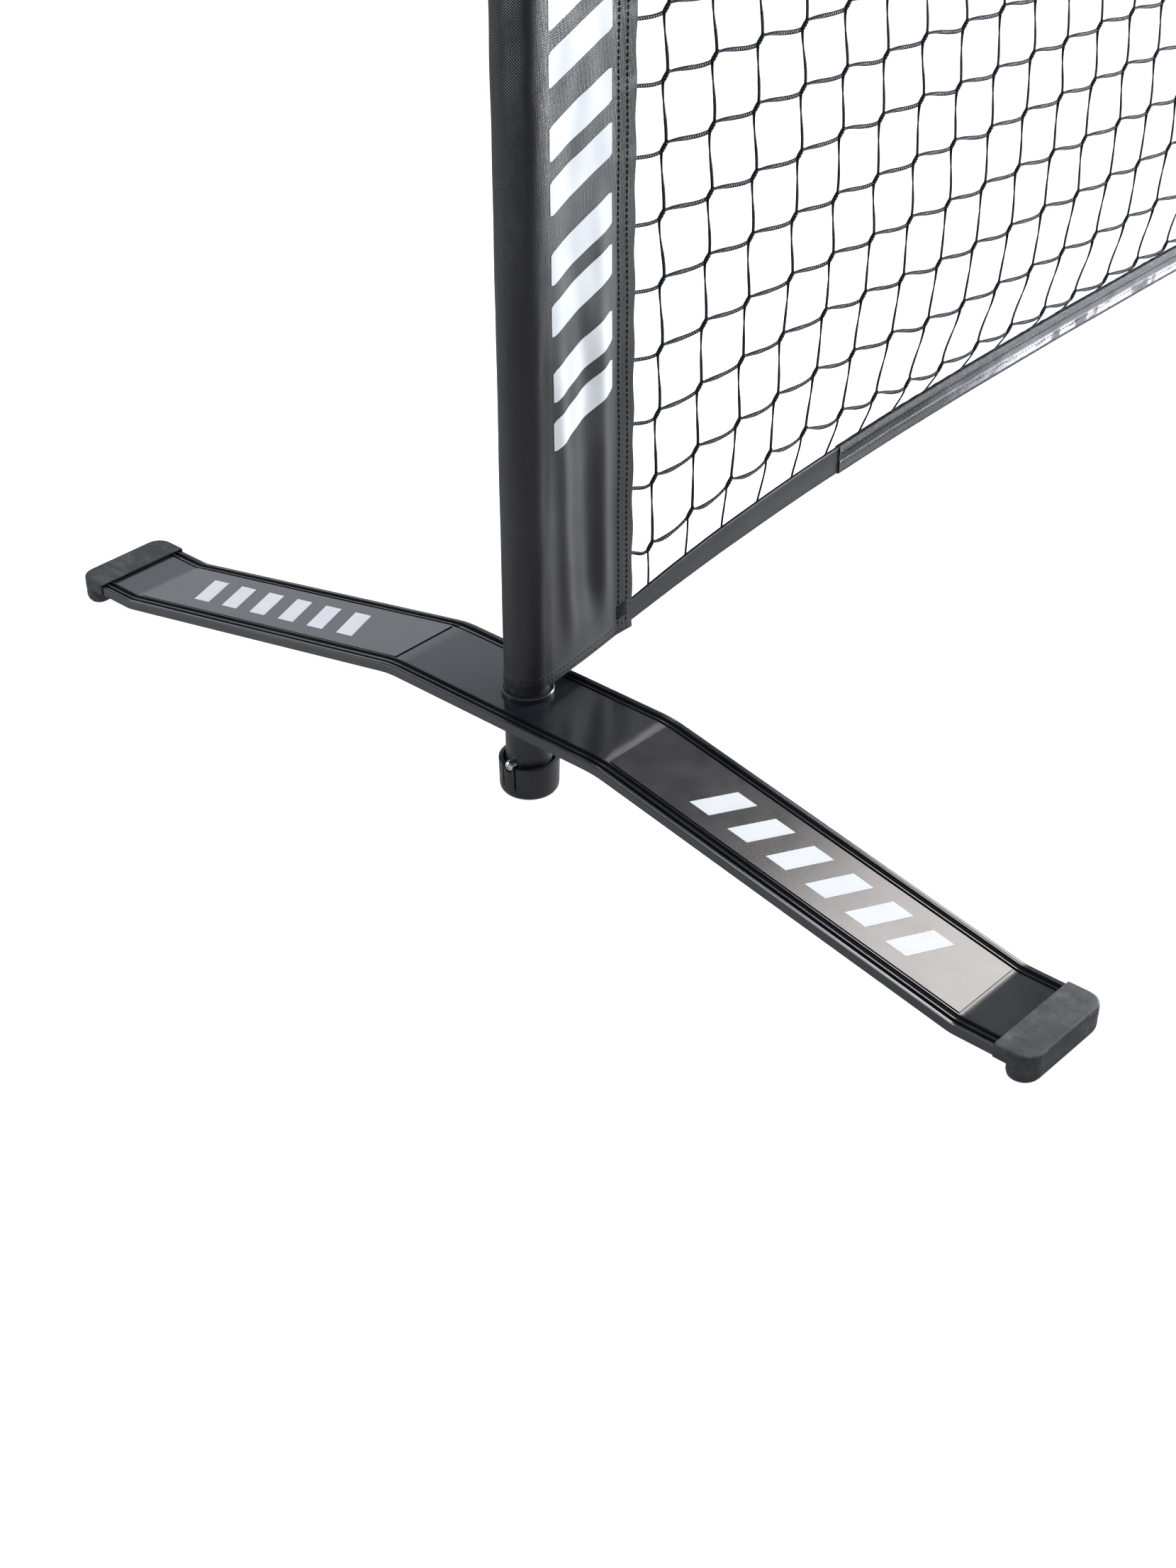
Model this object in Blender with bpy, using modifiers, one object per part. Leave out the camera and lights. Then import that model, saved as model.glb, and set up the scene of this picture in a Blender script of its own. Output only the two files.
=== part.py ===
"""Portable court net: two arched bases, two posts in fabric sleeves, a jointed top rail and the net.

Frame: X along the net, Y along the base legs, Z up; origin on the floor midway between the posts.
Every length is in metres. Each end is drawn once, with its post on a local axis and the net towards
+X, and then placed at both ends of the net: turned half a turn for the hard parts, mirrored for cloth.
"""
import math

import bmesh
import bpy
from mathutils import Matrix, Vector

# ---------------------------------------------------------------- driving dimensions
SPAN = 3.05                 # post axis to post axis
NET_Y = -0.005              # plane of the net
GAP = 0.0003                # clearance kept between neighbouring solids

LEG_WIDTH = 0.0812
LEG_DEPTH = 0.0080          # height of the leg's side faces, from the rib tops
LEG_TOP = 0.0805            # rib tops over the flat middle of the leg
LEG_END_TOP = 0.0208        # rib tops at the flat ends
LEG_FLAT = 0.0975           # half length of the flat middle
LEG_SLOPE_END = 0.389       # where the slope meets the flat end
LEG_END = 0.4365            # end of the steel
BEND_RADIUS = 0.030         # outer two bends of the arch
TOP_BEND_RADIUS = 0.090     # inner two
WEB_DROP = 0.0010           # web surface below the rib tops
WEB_THICK = 0.0028
WALL = 0.0018
WEB_HALF = 0.0292           # half width of the web between the ribs
RIB_MIDDLES = (0.03085, 0.0357)
RIB_FOOT_HALF = 0.0008
RIB_TOP_HALF = 0.0003
GROOVE_DROP = 0.0024        # floor of the grooves beside the ribs, below the rib tops
GROOVE_FALL = 0.00005       # each groove edge lies this much deeper than the one before it
LEDGE_START = 0.0377        # outer ledge, level with the web

TUBE_R = 0.0165             # lower tube
TUBE_BORE = 0.0153
TUBE_FOOT = 0.0026
TUBE_TOP = 0.0834
POST_R = 0.0150
POST_BORE = 0.0136
POST_FOOT = 0.0450
POST_TOP = 0.8570
RING_R = 0.0186
RING_TOP = 0.0832
COLLAR_R = 0.0205
COLLAR_DEPTH = 0.0110

CUP_R = 0.0216
CUP_HEIGHT = 0.0268
CUP_BORE = 0.0180
CUP_FLOOR = 0.0022
CUP_FILLET = 0.0050
TAB_HALF_ANGLE = math.radians(14.5)
SLOT_WIDTH = 0.0013
BUTTON_R = 0.0038
BUTTON_OUT = 0.0222         # button's tip, from the post axis
BUTTON_TRAVEL = 0.0040
SPRING_THICK = 0.0006

CAP_INNER = 0.4200
CAP_OUTER = 0.4480
CAP_SIDE = 0.0418
CAP_TOP = LEG_END_TOP + 0.0013
CAP_SHELL_BOTTOM = LEG_END_TOP - LEG_DEPTH
CAP_CORNER = 0.0125         # plan radius of the outer corners
CAP_BROW = 0.0020           # rounding of the top edges
PAD_START = 0.4262
PAD_CORNER = 0.0090         # plan radius of the pad's inner corners
PAD_ROUND = 0.0055          # rounding of the pad's lower edges
PAD_INSET = 0.0002          # the pad's sides lie this far inside the shell's

SLEEVE_R = 0.0171
SLEEVE_BORE = 0.0158
SLEEVE_FOOT = 0.0888
SLEEVE_TOP = 0.8290
SLEEVE_SEAM = 0.0860        # inner stitch line of the flap
SLEEVE_EDGE = 0.1023
POCKET_TIP = 0.0060         # the pocket's inside ends this far short of its seam

HEM_DROP = 0.0465           # how far the corner pulls the hem down
HEM_FADE = 0.22             # length over which that pull dies away
HEM_LEVEL = 0.158           # hem top far from the corner
HEM_CORNER_TALL = 0.0170
HEM_TALL = 0.0225
HEM_THICK = 0.0014
STRAP_START = 0.339         # from the post axis
STRAP_THICK = 0.0008

RAIL_R = 0.0125
RAIL_BORE = 0.0114
RAIL_Z = 0.8975
RAIL_END = 0.0340           # rail end from the post axis, inside the elbow
RAIL_JOINT = 0.505          # joints of the rail, each side of the middle
FERRULE_R = 0.0111
FERRULE_BORE = 0.0099
FERRULE_HALF = 0.060
RAIL_BUTTON_R = 0.0030
RAIL_BUTTON_OUT = 0.0136
RAIL_BUTTON_TRAVEL = 0.0030

ELBOW_R = 0.0174
ELBOW_FOOT = 0.8330
ELBOW_REACH = 0.0580
ELBOW_BEND = 0.0300

TAPE_R = 0.0152
TAPE_BORE = 0.0142
TAPE_FOOT = 0.8392
TAPE_START = 0.0615

SIDES = 28                  # facets round a tube


# ---------------------------------------------------------------- scene set-up
for old in list(bpy.data.objects):
    bpy.data.objects.remove(old)

PARTS = bpy.data.collections.new("portable_net")
CUTTERS = bpy.data.collections.new("cutters")
bpy.context.scene.collection.children.link(PARTS)
bpy.context.scene.collection.children.link(CUTTERS)


def material(name, colour, roughness, metallic=0.0):
    made = bpy.data.materials.new(name)
    made.use_nodes = True
    shader = made.node_tree.nodes["Principled BSDF"]
    shader.inputs["Base Color"].default_value = (*colour, 1.0)
    shader.inputs["Roughness"].default_value = roughness
    shader.inputs["Metallic"].default_value = metallic
    return made


BLACK_STEEL = material("black_steel", (0.020, 0.021, 0.026), 0.22, 0.1)
TUBE_STEEL = material("tube_steel", (0.035, 0.035, 0.038), 0.38, 0.2)
RUBBER = material("rubber", (0.075, 0.075, 0.082), 0.72)
LABEL_FILM = material("label_film", (0.110, 0.110, 0.115), 0.20)
CUP_PLASTIC = material("cup_plastic", (0.040, 0.040, 0.044), 0.42)
BUTTON_STEEL = material("button_steel", (0.75, 0.76, 0.78), 0.18, 1.0)
SLEEVE_CLOTH = material("sleeve_cloth", (0.030, 0.030, 0.036), 0.55)
NET_CORD = material("net_cord", (0.012, 0.013, 0.026), 0.80)
TAPE_CLOTH = material("tape_cloth", (0.78, 0.78, 0.76), 0.60)


# ---------------------------------------------------------------- building blocks
def put(name, mesh, finish, collection=PARTS):
    obj = bpy.data.objects.new(name, mesh)
    collection.objects.link(obj)
    obj.data.materials.clear()
    if finish:
        obj.data.materials.append(finish)
    return obj


def curve_mesh(curve):
    """The closed, welded mesh of a curve, and the curve removed."""
    obj = bpy.data.objects.new("outline", curve)
    bpy.context.scene.collection.objects.link(obj)
    graph = bpy.context.evaluated_depsgraph_get()
    mesh = bpy.data.meshes.new_from_object(obj.evaluated_get(graph))
    bpy.data.objects.remove(obj)
    shape = bmesh.new()
    shape.from_mesh(mesh)
    bmesh.ops.remove_doubles(shape, verts=shape.verts, dist=1e-6)
    bmesh.ops.recalc_face_normals(shape, faces=shape.faces)
    shape.to_mesh(mesh)
    shape.free()
    return mesh


def prism(loops, low, high):
    """A flat outline, with holes, standing from low to high along Z."""
    curve = bpy.data.curves.new("outline", "CURVE")
    curve.dimensions = "2D"
    curve.fill_mode = "BOTH"
    curve.extrude = (high - low) / 2
    for loop in loops:
        spline = curve.splines.new("POLY")
        spline.points.add(len(loop) - 1)
        for point, (x, y) in zip(spline.points, loop):
            point.co = (x, y, 0, 1)
        spline.use_cyclic_u = True
    mesh = curve_mesh(curve)
    mesh.transform(Matrix.Translation((0, 0, (low + high) / 2)))
    return mesh


def arc(centre, radius, start, stop, steps):
    """Points on an arc, angles in degrees, both ends included."""
    turns = [math.radians(start + (stop - start) * i / steps) for i in range(steps + 1)]
    return [(centre[0] + radius * math.cos(a), centre[1] + radius * math.sin(a)) for a in turns]


def circle(radius, sides=SIDES):
    return arc((0, 0), radius, 0, 360 * (sides - 1) / sides, sides - 1)


def tube_mesh(outer, inner, low, high, sides=SIDES):
    loops = [circle(outer, sides)]
    if inner:
        loops.append(circle(inner, sides))
    return prism(loops, low, high)


def turned(profile, steps=SIDES):
    """A closed ring profile (radius, height), outer side first and running down, turned about Z."""
    mesh = bpy.data.meshes.new("profile")
    edges = [(i, (i + 1) % len(profile)) for i in range(len(profile))]
    mesh.from_pydata([(r, 0, z) for r, z in profile], edges, [])
    obj = bpy.data.objects.new("profile", mesh)
    bpy.context.scene.collection.objects.link(obj)
    screw = obj.modifiers.new("turn", "SCREW")
    screw.steps = steps
    screw.render_steps = steps
    screw.use_merge_vertices = True
    screw.merge_threshold = 1e-5
    graph = bpy.context.evaluated_depsgraph_get()
    made = bpy.data.meshes.new_from_object(obj.evaluated_get(graph))
    bpy.data.objects.remove(obj)
    return made


def cutter(mesh, placed=Matrix.Identity(4)):
    mesh.transform(placed)
    tool = put("cutter", mesh, None, CUTTERS)
    tool.hide_render = True
    tool.display_type = "WIRE"
    return tool


def cut(obj, mesh, operation="DIFFERENCE"):
    """Apply an exact Boolean at once, so that the result can be mirrored or turned as one mesh."""
    tool = cutter(mesh)
    boolean = obj.modifiers.new("cut", "BOOLEAN")
    boolean.operation = operation
    boolean.solver = "EXACT"
    boolean.object = tool
    graph = bpy.context.evaluated_depsgraph_get()
    made = bpy.data.meshes.new_from_object(obj.evaluated_get(graph))
    obj.modifiers.clear()
    obj.data = made
    bpy.data.objects.remove(tool)


def along_x(mesh):
    """Turn a shape drawn up Z so that it points along +X."""
    mesh.transform(Matrix.Rotation(math.pi / 2, 4, "Y"))
    return mesh


def along_y(mesh):
    """Turn a shape drawn up Z so that it points along -Y."""
    mesh.transform(Matrix.Rotation(math.pi / 2, 4, "X"))
    return mesh


def smooth(obj, angle=35):
    obj.data.shade_smooth()
    obj.data.set_sharp_from_angle(angle=math.radians(angle))


# ---------------------------------------------------------------- the leg
def leg_line(offset=0.0, low=-LEG_END, high=LEG_END):
    """(y, z) points along the arch, at the rail tops plus an offset, bends rounded."""
    slope = math.atan2(LEG_TOP - LEG_END_TOP, LEG_SLOPE_END - LEG_FLAT)
    corners = [(-LEG_SLOPE_END, LEG_END_TOP, 0, slope, BEND_RADIUS), (-LEG_FLAT, LEG_TOP, slope, 0, TOP_BEND_RADIUS),
               (LEG_FLAT, LEG_TOP, 0, -slope, TOP_BEND_RADIUS), (LEG_SLOPE_END, LEG_END_TOP, -slope, 0, BEND_RADIUS)]
    points = [(low, LEG_END_TOP)]
    steps = 4
    for y, z, before, after, radius in corners:
        reach = radius * math.tan(slope / 2)
        here = Vector((y, z)) - reach * Vector((math.cos(before), math.sin(before)))
        turn = after - before
        chord = 2 * radius * math.sin(abs(turn) / (2 * steps))
        points.append(tuple(here))
        for i in range(steps):
            heading = before + turn * (i + 0.5) / steps
            here = here + chord * Vector((math.cos(heading), math.sin(heading)))
            points.append(tuple(here))
    points.append((high, LEG_END_TOP))
    return [(y, z + offset) for y, z in points]


def leg_section():
    """Half of the pressed section, (x, height from the rib tops), from the middle outwards."""
    side = LEG_WIDTH / 2
    floor = -GROOVE_DROP
    points = [(WEB_HALF, -WEB_DROP), (WEB_HALF + 0.0003, floor)]
    for middle in RIB_MIDDLES:
        points += [(middle - RIB_FOOT_HALF, floor - GROOVE_FALL), (middle - RIB_TOP_HALF, 0),
                   (middle + RIB_TOP_HALF, 0), (middle + RIB_FOOT_HALF, floor - 2 * GROOVE_FALL)]
        floor -= 2 * GROOVE_FALL
    points += [(LEDGE_START - 0.0004, floor - GROOVE_FALL), (LEDGE_START, -WEB_DROP - 0.0002),
               (LEDGE_START + 0.0005, -WEB_DROP)]
    points += [(side - 0.0011, -WEB_DROP), (side - 0.0003, -WEB_DROP - 0.0003), (side, -WEB_DROP - 0.0012)]
    points += [(side, -LEG_DEPTH), (side - WALL, -LEG_DEPTH), (side - WALL, -WEB_DROP - WEB_THICK)]
    return points


def leg_mesh():
    right = leg_section()
    section = right + [(-x, z) for x, z in reversed(right)]
    profile = bpy.data.curves.new("section", "CURVE")
    profile.dimensions = "2D"
    spline = profile.splines.new("POLY")
    spline.points.add(len(section) - 1)
    for point, (x, z) in zip(spline.points, section):
        point.co = (-x, z, 0, 1)
    spline.use_cyclic_u = True
    section_obj = bpy.data.objects.new("section", profile)
    bpy.context.scene.collection.objects.link(section_obj)
    path = bpy.data.curves.new("arch", "CURVE")
    path.dimensions = "3D"
    path.bevel_mode = "OBJECT"
    path.bevel_object = section_obj
    path.use_fill_caps = True
    path.twist_mode = "Z_UP"
    line = leg_line()
    run = path.splines.new("POLY")
    run.points.add(len(line) - 1)
    for point, (y, z) in zip(run.points, line):
        point.co = (0, y, z, 1)
    mesh = curve_mesh(path)
    bpy.data.objects.remove(section_obj)
    return mesh


def make_leg(side):
    leg = put(f"{side}_leg", leg_mesh(), BLACK_STEEL)
    cut(leg, tube_mesh(TUBE_R + 0.0016, 0, LEG_TOP - 0.012, LEG_TOP + 0.004))
    smooth(leg)
    return leg


def make_ring(side):
    web = LEG_TOP - WEB_DROP
    neck = TUBE_R + 0.0013
    bore = TUBE_R + GAP
    foot = web - WEB_THICK - 0.0002
    profile = [(RING_R, RING_TOP - 0.0008), (RING_R, web + GAP), (neck, web + GAP), (neck, foot),
               (bore, foot), (bore, RING_TOP - 0.0003), (bore + 0.0003, RING_TOP), (RING_R - 0.0008, RING_TOP)]
    ring = put(f"{side}_leg_ring", turned(profile), CUP_PLASTIC)
    smooth(ring)
    return ring


def make_collar(side):
    top = LEG_TOP - WEB_DROP - WEB_THICK - 0.0006
    collar = put(f"{side}_stop_collar", tube_mesh(COLLAR_R, TUBE_R + GAP, top - COLLAR_DEPTH, top), TUBE_STEEL)
    smooth(collar)
    return collar


def plan_ring(half, low, high, inner, outer, z):
    """Rounded rectangle at one height, from y=low to y=high, with its inner and outer corner radii."""
    plan = arc((half - inner, low + inner), inner, -90, 0, 5) + arc((half - outer, high - outer), outer, 0, 90, 6)
    plan += [(-x, y) for x, y in reversed(plan)]
    return [(x, y, z) for x, y in plan]


def lofted(rings):
    """Solid through rings of equal point counts, lowest first."""
    around = len(rings[0])
    faces = [tuple(reversed(range(around))), tuple(range((len(rings) - 1) * around, len(rings) * around))]
    for level in range(len(rings) - 1):
        for i in range(around):
            here = level * around + i
            beside = level * around + (i + 1) % around
            faces.append((here, beside, beside + around, here + around))
    mesh = bpy.data.meshes.new("loft")
    mesh.from_pydata([point for ring in rings for point in ring], [], faces)
    mesh.update(calc_edges=True)
    return mesh


def make_cap(side, end, sign):
    """Rubber boot on a leg end: a thin shell over the steel and a round-edged pad under its outer part."""
    soft = 0.0008
    shell = [plan_ring(CAP_SIDE, CAP_INNER, CAP_OUTER, soft, CAP_CORNER, CAP_SHELL_BOTTOM)]
    for degrees in (0, 30, 60, 90):
        inset = CAP_BROW * (1 - math.cos(math.radians(degrees)))
        height = CAP_TOP - CAP_BROW * (1 - math.sin(math.radians(degrees)))
        shell.append(plan_ring(CAP_SIDE - inset, CAP_INNER, CAP_OUTER - inset, soft, CAP_CORNER - inset, height))
    pad = []
    for degrees in (0, 20, 40, 60, 90):
        inset = PAD_INSET + PAD_ROUND * (1 - math.sin(math.radians(degrees)))
        height = PAD_ROUND * (1 - math.cos(math.radians(degrees)))
        pad.append(plan_ring(CAP_SIDE - inset, PAD_START + inset, CAP_OUTER - inset, PAD_CORNER - inset,
                             CAP_CORNER - inset, height))
    pad.append([(x, y, CAP_SHELL_BOTTOM + 0.0020) for x, y, z in pad[-1]])
    cap = put(f"{side}_{end}_cap", lofted(shell), RUBBER)
    cut(cap, lofted(pad), "UNION")
    half = LEG_WIDTH / 2 + GAP
    pocket = prism([[(-half, 0.40), (half, 0.40), (half, LEG_END + GAP), (-half, LEG_END + GAP)]],
                   LEG_END_TOP - LEG_DEPTH - GAP, LEG_END_TOP + GAP)
    cut(cap, pocket)
    if sign < 0:
        cap.data.transform(Matrix.Rotation(math.pi, 4, "Z"))
    smooth(cap)
    return cap


def make_label(side, end, sign):
    """Thin film on the sloping part of the web."""
    slope = math.atan2(LEG_TOP - LEG_END_TOP, LEG_SLOPE_END - LEG_FLAT)
    half = WEB_HALF - 0.0004
    low_y, high_y = 0.1010, 0.3865
    length = (high_y - low_y) / math.cos(slope)
    film = prism([[(-half, 0), (half, 0), (half, length), (-half, length)]], GAP, GAP + 0.0003)
    start_z = LEG_TOP - WEB_DROP - (low_y - LEG_FLAT) * math.tan(slope)
    film.transform(Matrix.Rotation(-slope, 4, "X"))
    film.transform(Matrix.Translation((0, low_y, start_z)))
    if sign < 0:
        film.transform(Matrix.Rotation(math.pi, 4, "Z"))
    return put(f"{side}_{end}_label", film, LABEL_FILM)


# ---------------------------------------------------------------- tube, cup and snap button
def button_hole(radius):
    """A cutter through the outer wall at the snap button, which faces away from the net."""
    hole = tube_mesh(radius, 0, -0.030, -0.006, 20)
    along_x(hole)
    hole.transform(Matrix.Translation((0, 0, CUP_HEIGHT)))
    return hole


def make_lower_tube(side):
    tube = put(f"{side}_lower_tube", tube_mesh(TUBE_R, TUBE_BORE, TUBE_FOOT, TUBE_TOP), TUBE_STEEL)
    cut(tube, button_hole(BUTTON_R + GAP))
    smooth(tube)
    return tube


def make_cup(side):
    draft = 0.0005
    foot = CUP_R - draft
    rim = [(CUP_R - 0.0009, CUP_HEIGHT), (CUP_R - 0.0002, CUP_HEIGHT - 0.0003), (CUP_R, CUP_HEIGHT - 0.0012)]
    low = [(foot - CUP_FILLET + r, z) for r, z in reversed(arc((0, CUP_FILLET), CUP_FILLET, -90, 0, 4))]
    inside = [(0.004, 0), (0.004, CUP_FLOOR), (CUP_BORE, CUP_FLOOR), (CUP_BORE, CUP_HEIGHT - 0.0008)]
    profile = rim + low + inside + [(CUP_BORE + 0.0006, CUP_HEIGHT)]
    cup = put(f"{side}_foot_cup", turned(profile, 32), CUP_PLASTIC)
    for sign in (-1, 1):
        y = CUP_R * math.sin(TAB_HALF_ANGLE) * sign
        half = SLOT_WIDTH / 2
        box = [(-0.0300, y - half), (-0.0165, y - half), (-0.0165, y + half), (-0.0300, y + half)]
        cut(cup, prism([box], 0.0085, CUP_HEIGHT + 0.002))
    cut(cup, button_hole(BUTTON_R + 0.0006))
    smooth(cup)
    return cup


def make_button(side):
    """Domed pin along -X, and the leaf that pushes it out."""
    dome = 0.0022
    inner = 0.0120
    rim = [(BUTTON_R, BUTTON_OUT - dome)]
    crown = [(BUTTON_R * math.cos(a), BUTTON_OUT - dome + dome * math.sin(a))
             for a in [math.radians(t) for t in (25, 50, 72)]]
    profile = [(0.0006, BUTTON_OUT)] + list(reversed(crown)) + rim + [(BUTTON_R, inner), (0.0006, inner)]
    mesh = turned(profile, 20)
    shape = bmesh.new()
    shape.from_mesh(mesh)
    bmesh.ops.remove_doubles(shape, verts=shape.verts, dist=1e-6)
    shape.to_mesh(mesh)
    shape.free()
    mesh.transform(Matrix.Rotation(-math.pi / 2, 4, "Y"))
    mesh.transform(Matrix.Translation((0, 0, CUP_HEIGHT)))
    button = put(f"{side}_snap_button", mesh, BUTTON_STEEL)
    smooth(button)
    return button


def make_spring(side):
    """A leaf bent to a narrow hook, behind the button and clear of the tube's far wall."""
    front = -inner_face()
    outline = [(front, CUP_HEIGHT - 0.006), (front, CUP_HEIGHT + 0.007)]
    outline += arc((front + 0.003, CUP_HEIGHT + 0.007), 0.003, 180, 0, 6)[1:]
    outline += [(front + 0.006, CUP_HEIGHT - 0.004)]
    inner = [(x + shift_x, z + shift_z) for (x, z), (shift_x, shift_z) in zip(outline, leaf_offsets(outline))]
    mesh = prism([outline + list(reversed(inner))], -0.0035, 0.0035)
    mesh.transform(Matrix(((1, 0, 0, 0), (0, 0, -1, 0), (0, 1, 0, 0), (0, 0, 0, 1))))
    return put(f"{side}_snap_spring", mesh, BUTTON_STEEL)


def inner_face():
    """Distance of the leaf's face from the post axis, just behind the button's inner end."""
    return 0.0120 - GAP


def leaf_offsets(outline):
    """Offsets of the leaf's thickness, square to the outline at each point, towards its inside."""
    offsets = []
    for i, (x, z) in enumerate(outline):
        before = outline[max(i - 1, 0)]
        after = outline[min(i + 1, len(outline) - 1)]
        run = Vector((after[0] - before[0], after[1] - before[1])).normalized()
        offsets.append((run.y * SPRING_THICK, -run.x * SPRING_THICK))
    return offsets


# ---------------------------------------------------------------- post, elbow and sleeve
def make_post(side):
    post = put(f"{side}_post", tube_mesh(POST_R, POST_BORE, POST_FOOT, POST_TOP), TUBE_STEEL)
    smooth(post)
    return post


def make_elbow(side):
    """Corner fitting swept round a bend, with a socket for the post and one for the rail."""
    bend = [(x, z) for x, z in reversed(arc((ELBOW_BEND, RAIL_Z - ELBOW_BEND), ELBOW_BEND, 90, 180, 6))]
    line = [(0, ELBOW_FOOT)] + bend + [(ELBOW_REACH, RAIL_Z)]
    curve = bpy.data.curves.new("bend", "CURVE")
    curve.dimensions = "3D"
    curve.bevel_depth = ELBOW_R
    curve.bevel_resolution = 5
    curve.use_fill_caps = True
    run = curve.splines.new("POLY")
    run.points.add(len(line) - 1)
    for point, (x, z) in zip(run.points, line):
        point.co = (x, 0, z, 1)
    elbow = put(f"{side}_elbow", curve_mesh(curve), CUP_PLASTIC)
    cut(elbow, tube_mesh(POST_R + GAP, 0, ELBOW_FOOT - 0.01, POST_TOP + GAP))
    socket = along_x(tube_mesh(RAIL_R + GAP, 0, RAIL_END - GAP, ELBOW_REACH + 0.01))
    socket.transform(Matrix.Translation((0, 0, RAIL_Z)))
    cut(elbow, socket)
    smooth(elbow)
    return elbow


def pocket_outlines(radius, bore, seam, edge, half_seam, half_edge):
    """Section of a cloth pocket: round over the tube, both sides drawn together into a flat flap."""
    flat = math.degrees(math.asin(radius / seam))
    outside = arc((0, 0), radius, 90 - flat, 270 + flat, 14)
    outside += [(seam, NET_Y - half_seam), (edge, NET_Y - half_edge)]
    outside += [(edge, NET_Y + half_edge), (seam, NET_Y + half_seam)]
    inside = arc((0, 0), bore, 90 - flat, 270 + flat, 14)
    inside += [(seam - POCKET_TIP, NET_Y)]
    return [outside, inside]


def make_sleeve(side):
    outlines = pocket_outlines(SLEEVE_R, SLEEVE_BORE, SLEEVE_SEAM, SLEEVE_EDGE, 0.0016, 0.0012)
    mesh = prism(outlines, SLEEVE_FOOT, SLEEVE_TOP)
    sleeve = put(f"{side}_sleeve", mesh, SLEEVE_CLOTH)
    smooth(sleeve)
    return sleeve


# ---------------------------------------------------------------- shared pieces
def rail_button_hole(x, radius):
    hole = along_y(tube_mesh(radius, 0, 0.004, 0.020, 16))
    hole.transform(Matrix.Translation((x, 0, RAIL_Z)))
    return hole


def make_rail(name, start, stop, buttons):
    mesh = along_x(tube_mesh(RAIL_R, RAIL_BORE, start, stop))
    mesh.transform(Matrix.Translation((0, 0, RAIL_Z)))
    rail = put(name, mesh, TUBE_STEEL)
    for x in buttons:
        cut(rail, rail_button_hole(x, RAIL_BUTTON_R + GAP))
    smooth(rail)


def make_ferrule(name, x, button_x):
    mesh = along_x(tube_mesh(FERRULE_R, FERRULE_BORE, x - FERRULE_HALF, x + FERRULE_HALF))
    mesh.transform(Matrix.Translation((0, 0, RAIL_Z)))
    ferrule = put(name, mesh, TUBE_STEEL)
    cut(ferrule, rail_button_hole(button_x, RAIL_BUTTON_R + GAP))
    smooth(ferrule)


def make_rail_button(name, x):
    mesh = along_y(tube_mesh(RAIL_BUTTON_R, 0, 0.0060, RAIL_BUTTON_OUT - 0.0006, 16))
    mesh.transform(Matrix.Translation((x, 0, RAIL_Z)))
    button = put(name, mesh, BUTTON_STEEL)
    smooth(button)


def make_tape():
    """Tape folded over the rail, its two layers sewn together below it."""
    drop = RAIL_Z - TAPE_FOOT
    outlines = pocket_outlines(TAPE_R, TAPE_BORE, drop - 0.018, drop, 0.0014, 0.0012)
    half = SPAN / 2 - TAPE_START
    mesh = prism(outlines, -half, half)
    mesh.transform(Matrix(((0, 0, 1, 0), (0, 1, 0, 0), (-1, 0, 0, 0), (0, 0, 0, 1))))
    mesh.transform(Matrix.Translation((0, 0, RAIL_Z)))
    shape = bmesh.new()
    shape.from_mesh(mesh)
    bmesh.ops.recalc_face_normals(shape, faces=shape.faces)
    shape.to_mesh(mesh)
    shape.free()
    tape = put("top_tape", mesh, TAPE_CLOTH)
    smooth(tape)


def hem_top(x):
    """Height of the hem's top edge: level in the middle, pulled down towards each post."""
    from_post = SPAN / 2 - abs(x)
    return HEM_LEVEL - HEM_DROP * math.exp(-(from_post - 0.106) / HEM_FADE)


def hem_foot(x):
    from_post = SPAN / 2 - abs(x)
    tall = HEM_TALL - (HEM_TALL - HEM_CORNER_TALL) * math.exp(-(from_post - 0.106) / 0.10)
    return hem_top(x) - tall


def stations(half):
    """Places along the net, closer together towards the posts."""
    near = [SPAN / 2 - d for d in (0.14, 0.19, 0.25, 0.32, 0.40, 0.52, 0.70, 1.0)]
    right = [x for x in near if x < half - 0.01]
    return [-half] + [-x for x in right] + [0.0] + list(reversed(right)) + [half]


def standing_panel(name, low, high, half, thick, centre, finish):
    """A thin upright panel between two edge lines, given as heights at x."""
    xs = stations(half)
    outline = [(x, low(x)) for x in xs] + [(x, high(x)) for x in reversed(xs)]
    mesh = prism([outline], -thick / 2, thick / 2)
    mesh.transform(Matrix.Rotation(math.pi / 2, 4, "X"))
    mesh.transform(Matrix.Translation((0, centre, 0)))
    return put(name, mesh, finish)


def make_strap():
    """Strap folded up both faces of the hem: one U section carried along its bottom edge."""
    half = SPAN / 2 - STRAP_START
    inside = HEM_THICK / 2 + GAP
    outside = inside + STRAP_THICK
    strap = standing_panel("hem_strap", lambda x: hem_foot(x) - GAP - STRAP_THICK,
                           lambda x: hem_top(x) - GAP, half, 2 * outside, NET_Y, SLEEVE_CLOTH)
    inner = standing_panel("strap_core", lambda x: hem_foot(x) - GAP, lambda x: hem_top(x) + 0.002,
                           half + 0.004, 2 * inside, NET_Y, SLEEVE_CLOTH)
    mesh = inner.data.copy()
    bpy.data.objects.remove(inner)
    cut(strap, mesh)


# ---------------------------------------------------------------- assembly
def swing_axis(side):
    """An empty on the post axis, which the base's pieces turn about."""
    empty = bpy.data.objects.new(f"{side}_base_axis", None)
    empty.location = (-SPAN / 2 if side == "left" else SPAN / 2, 0, 0)
    empty.rotation_euler = (0, 0, 0 if side == "left" else math.pi)
    PARTS.objects.link(empty)
    return empty


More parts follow.
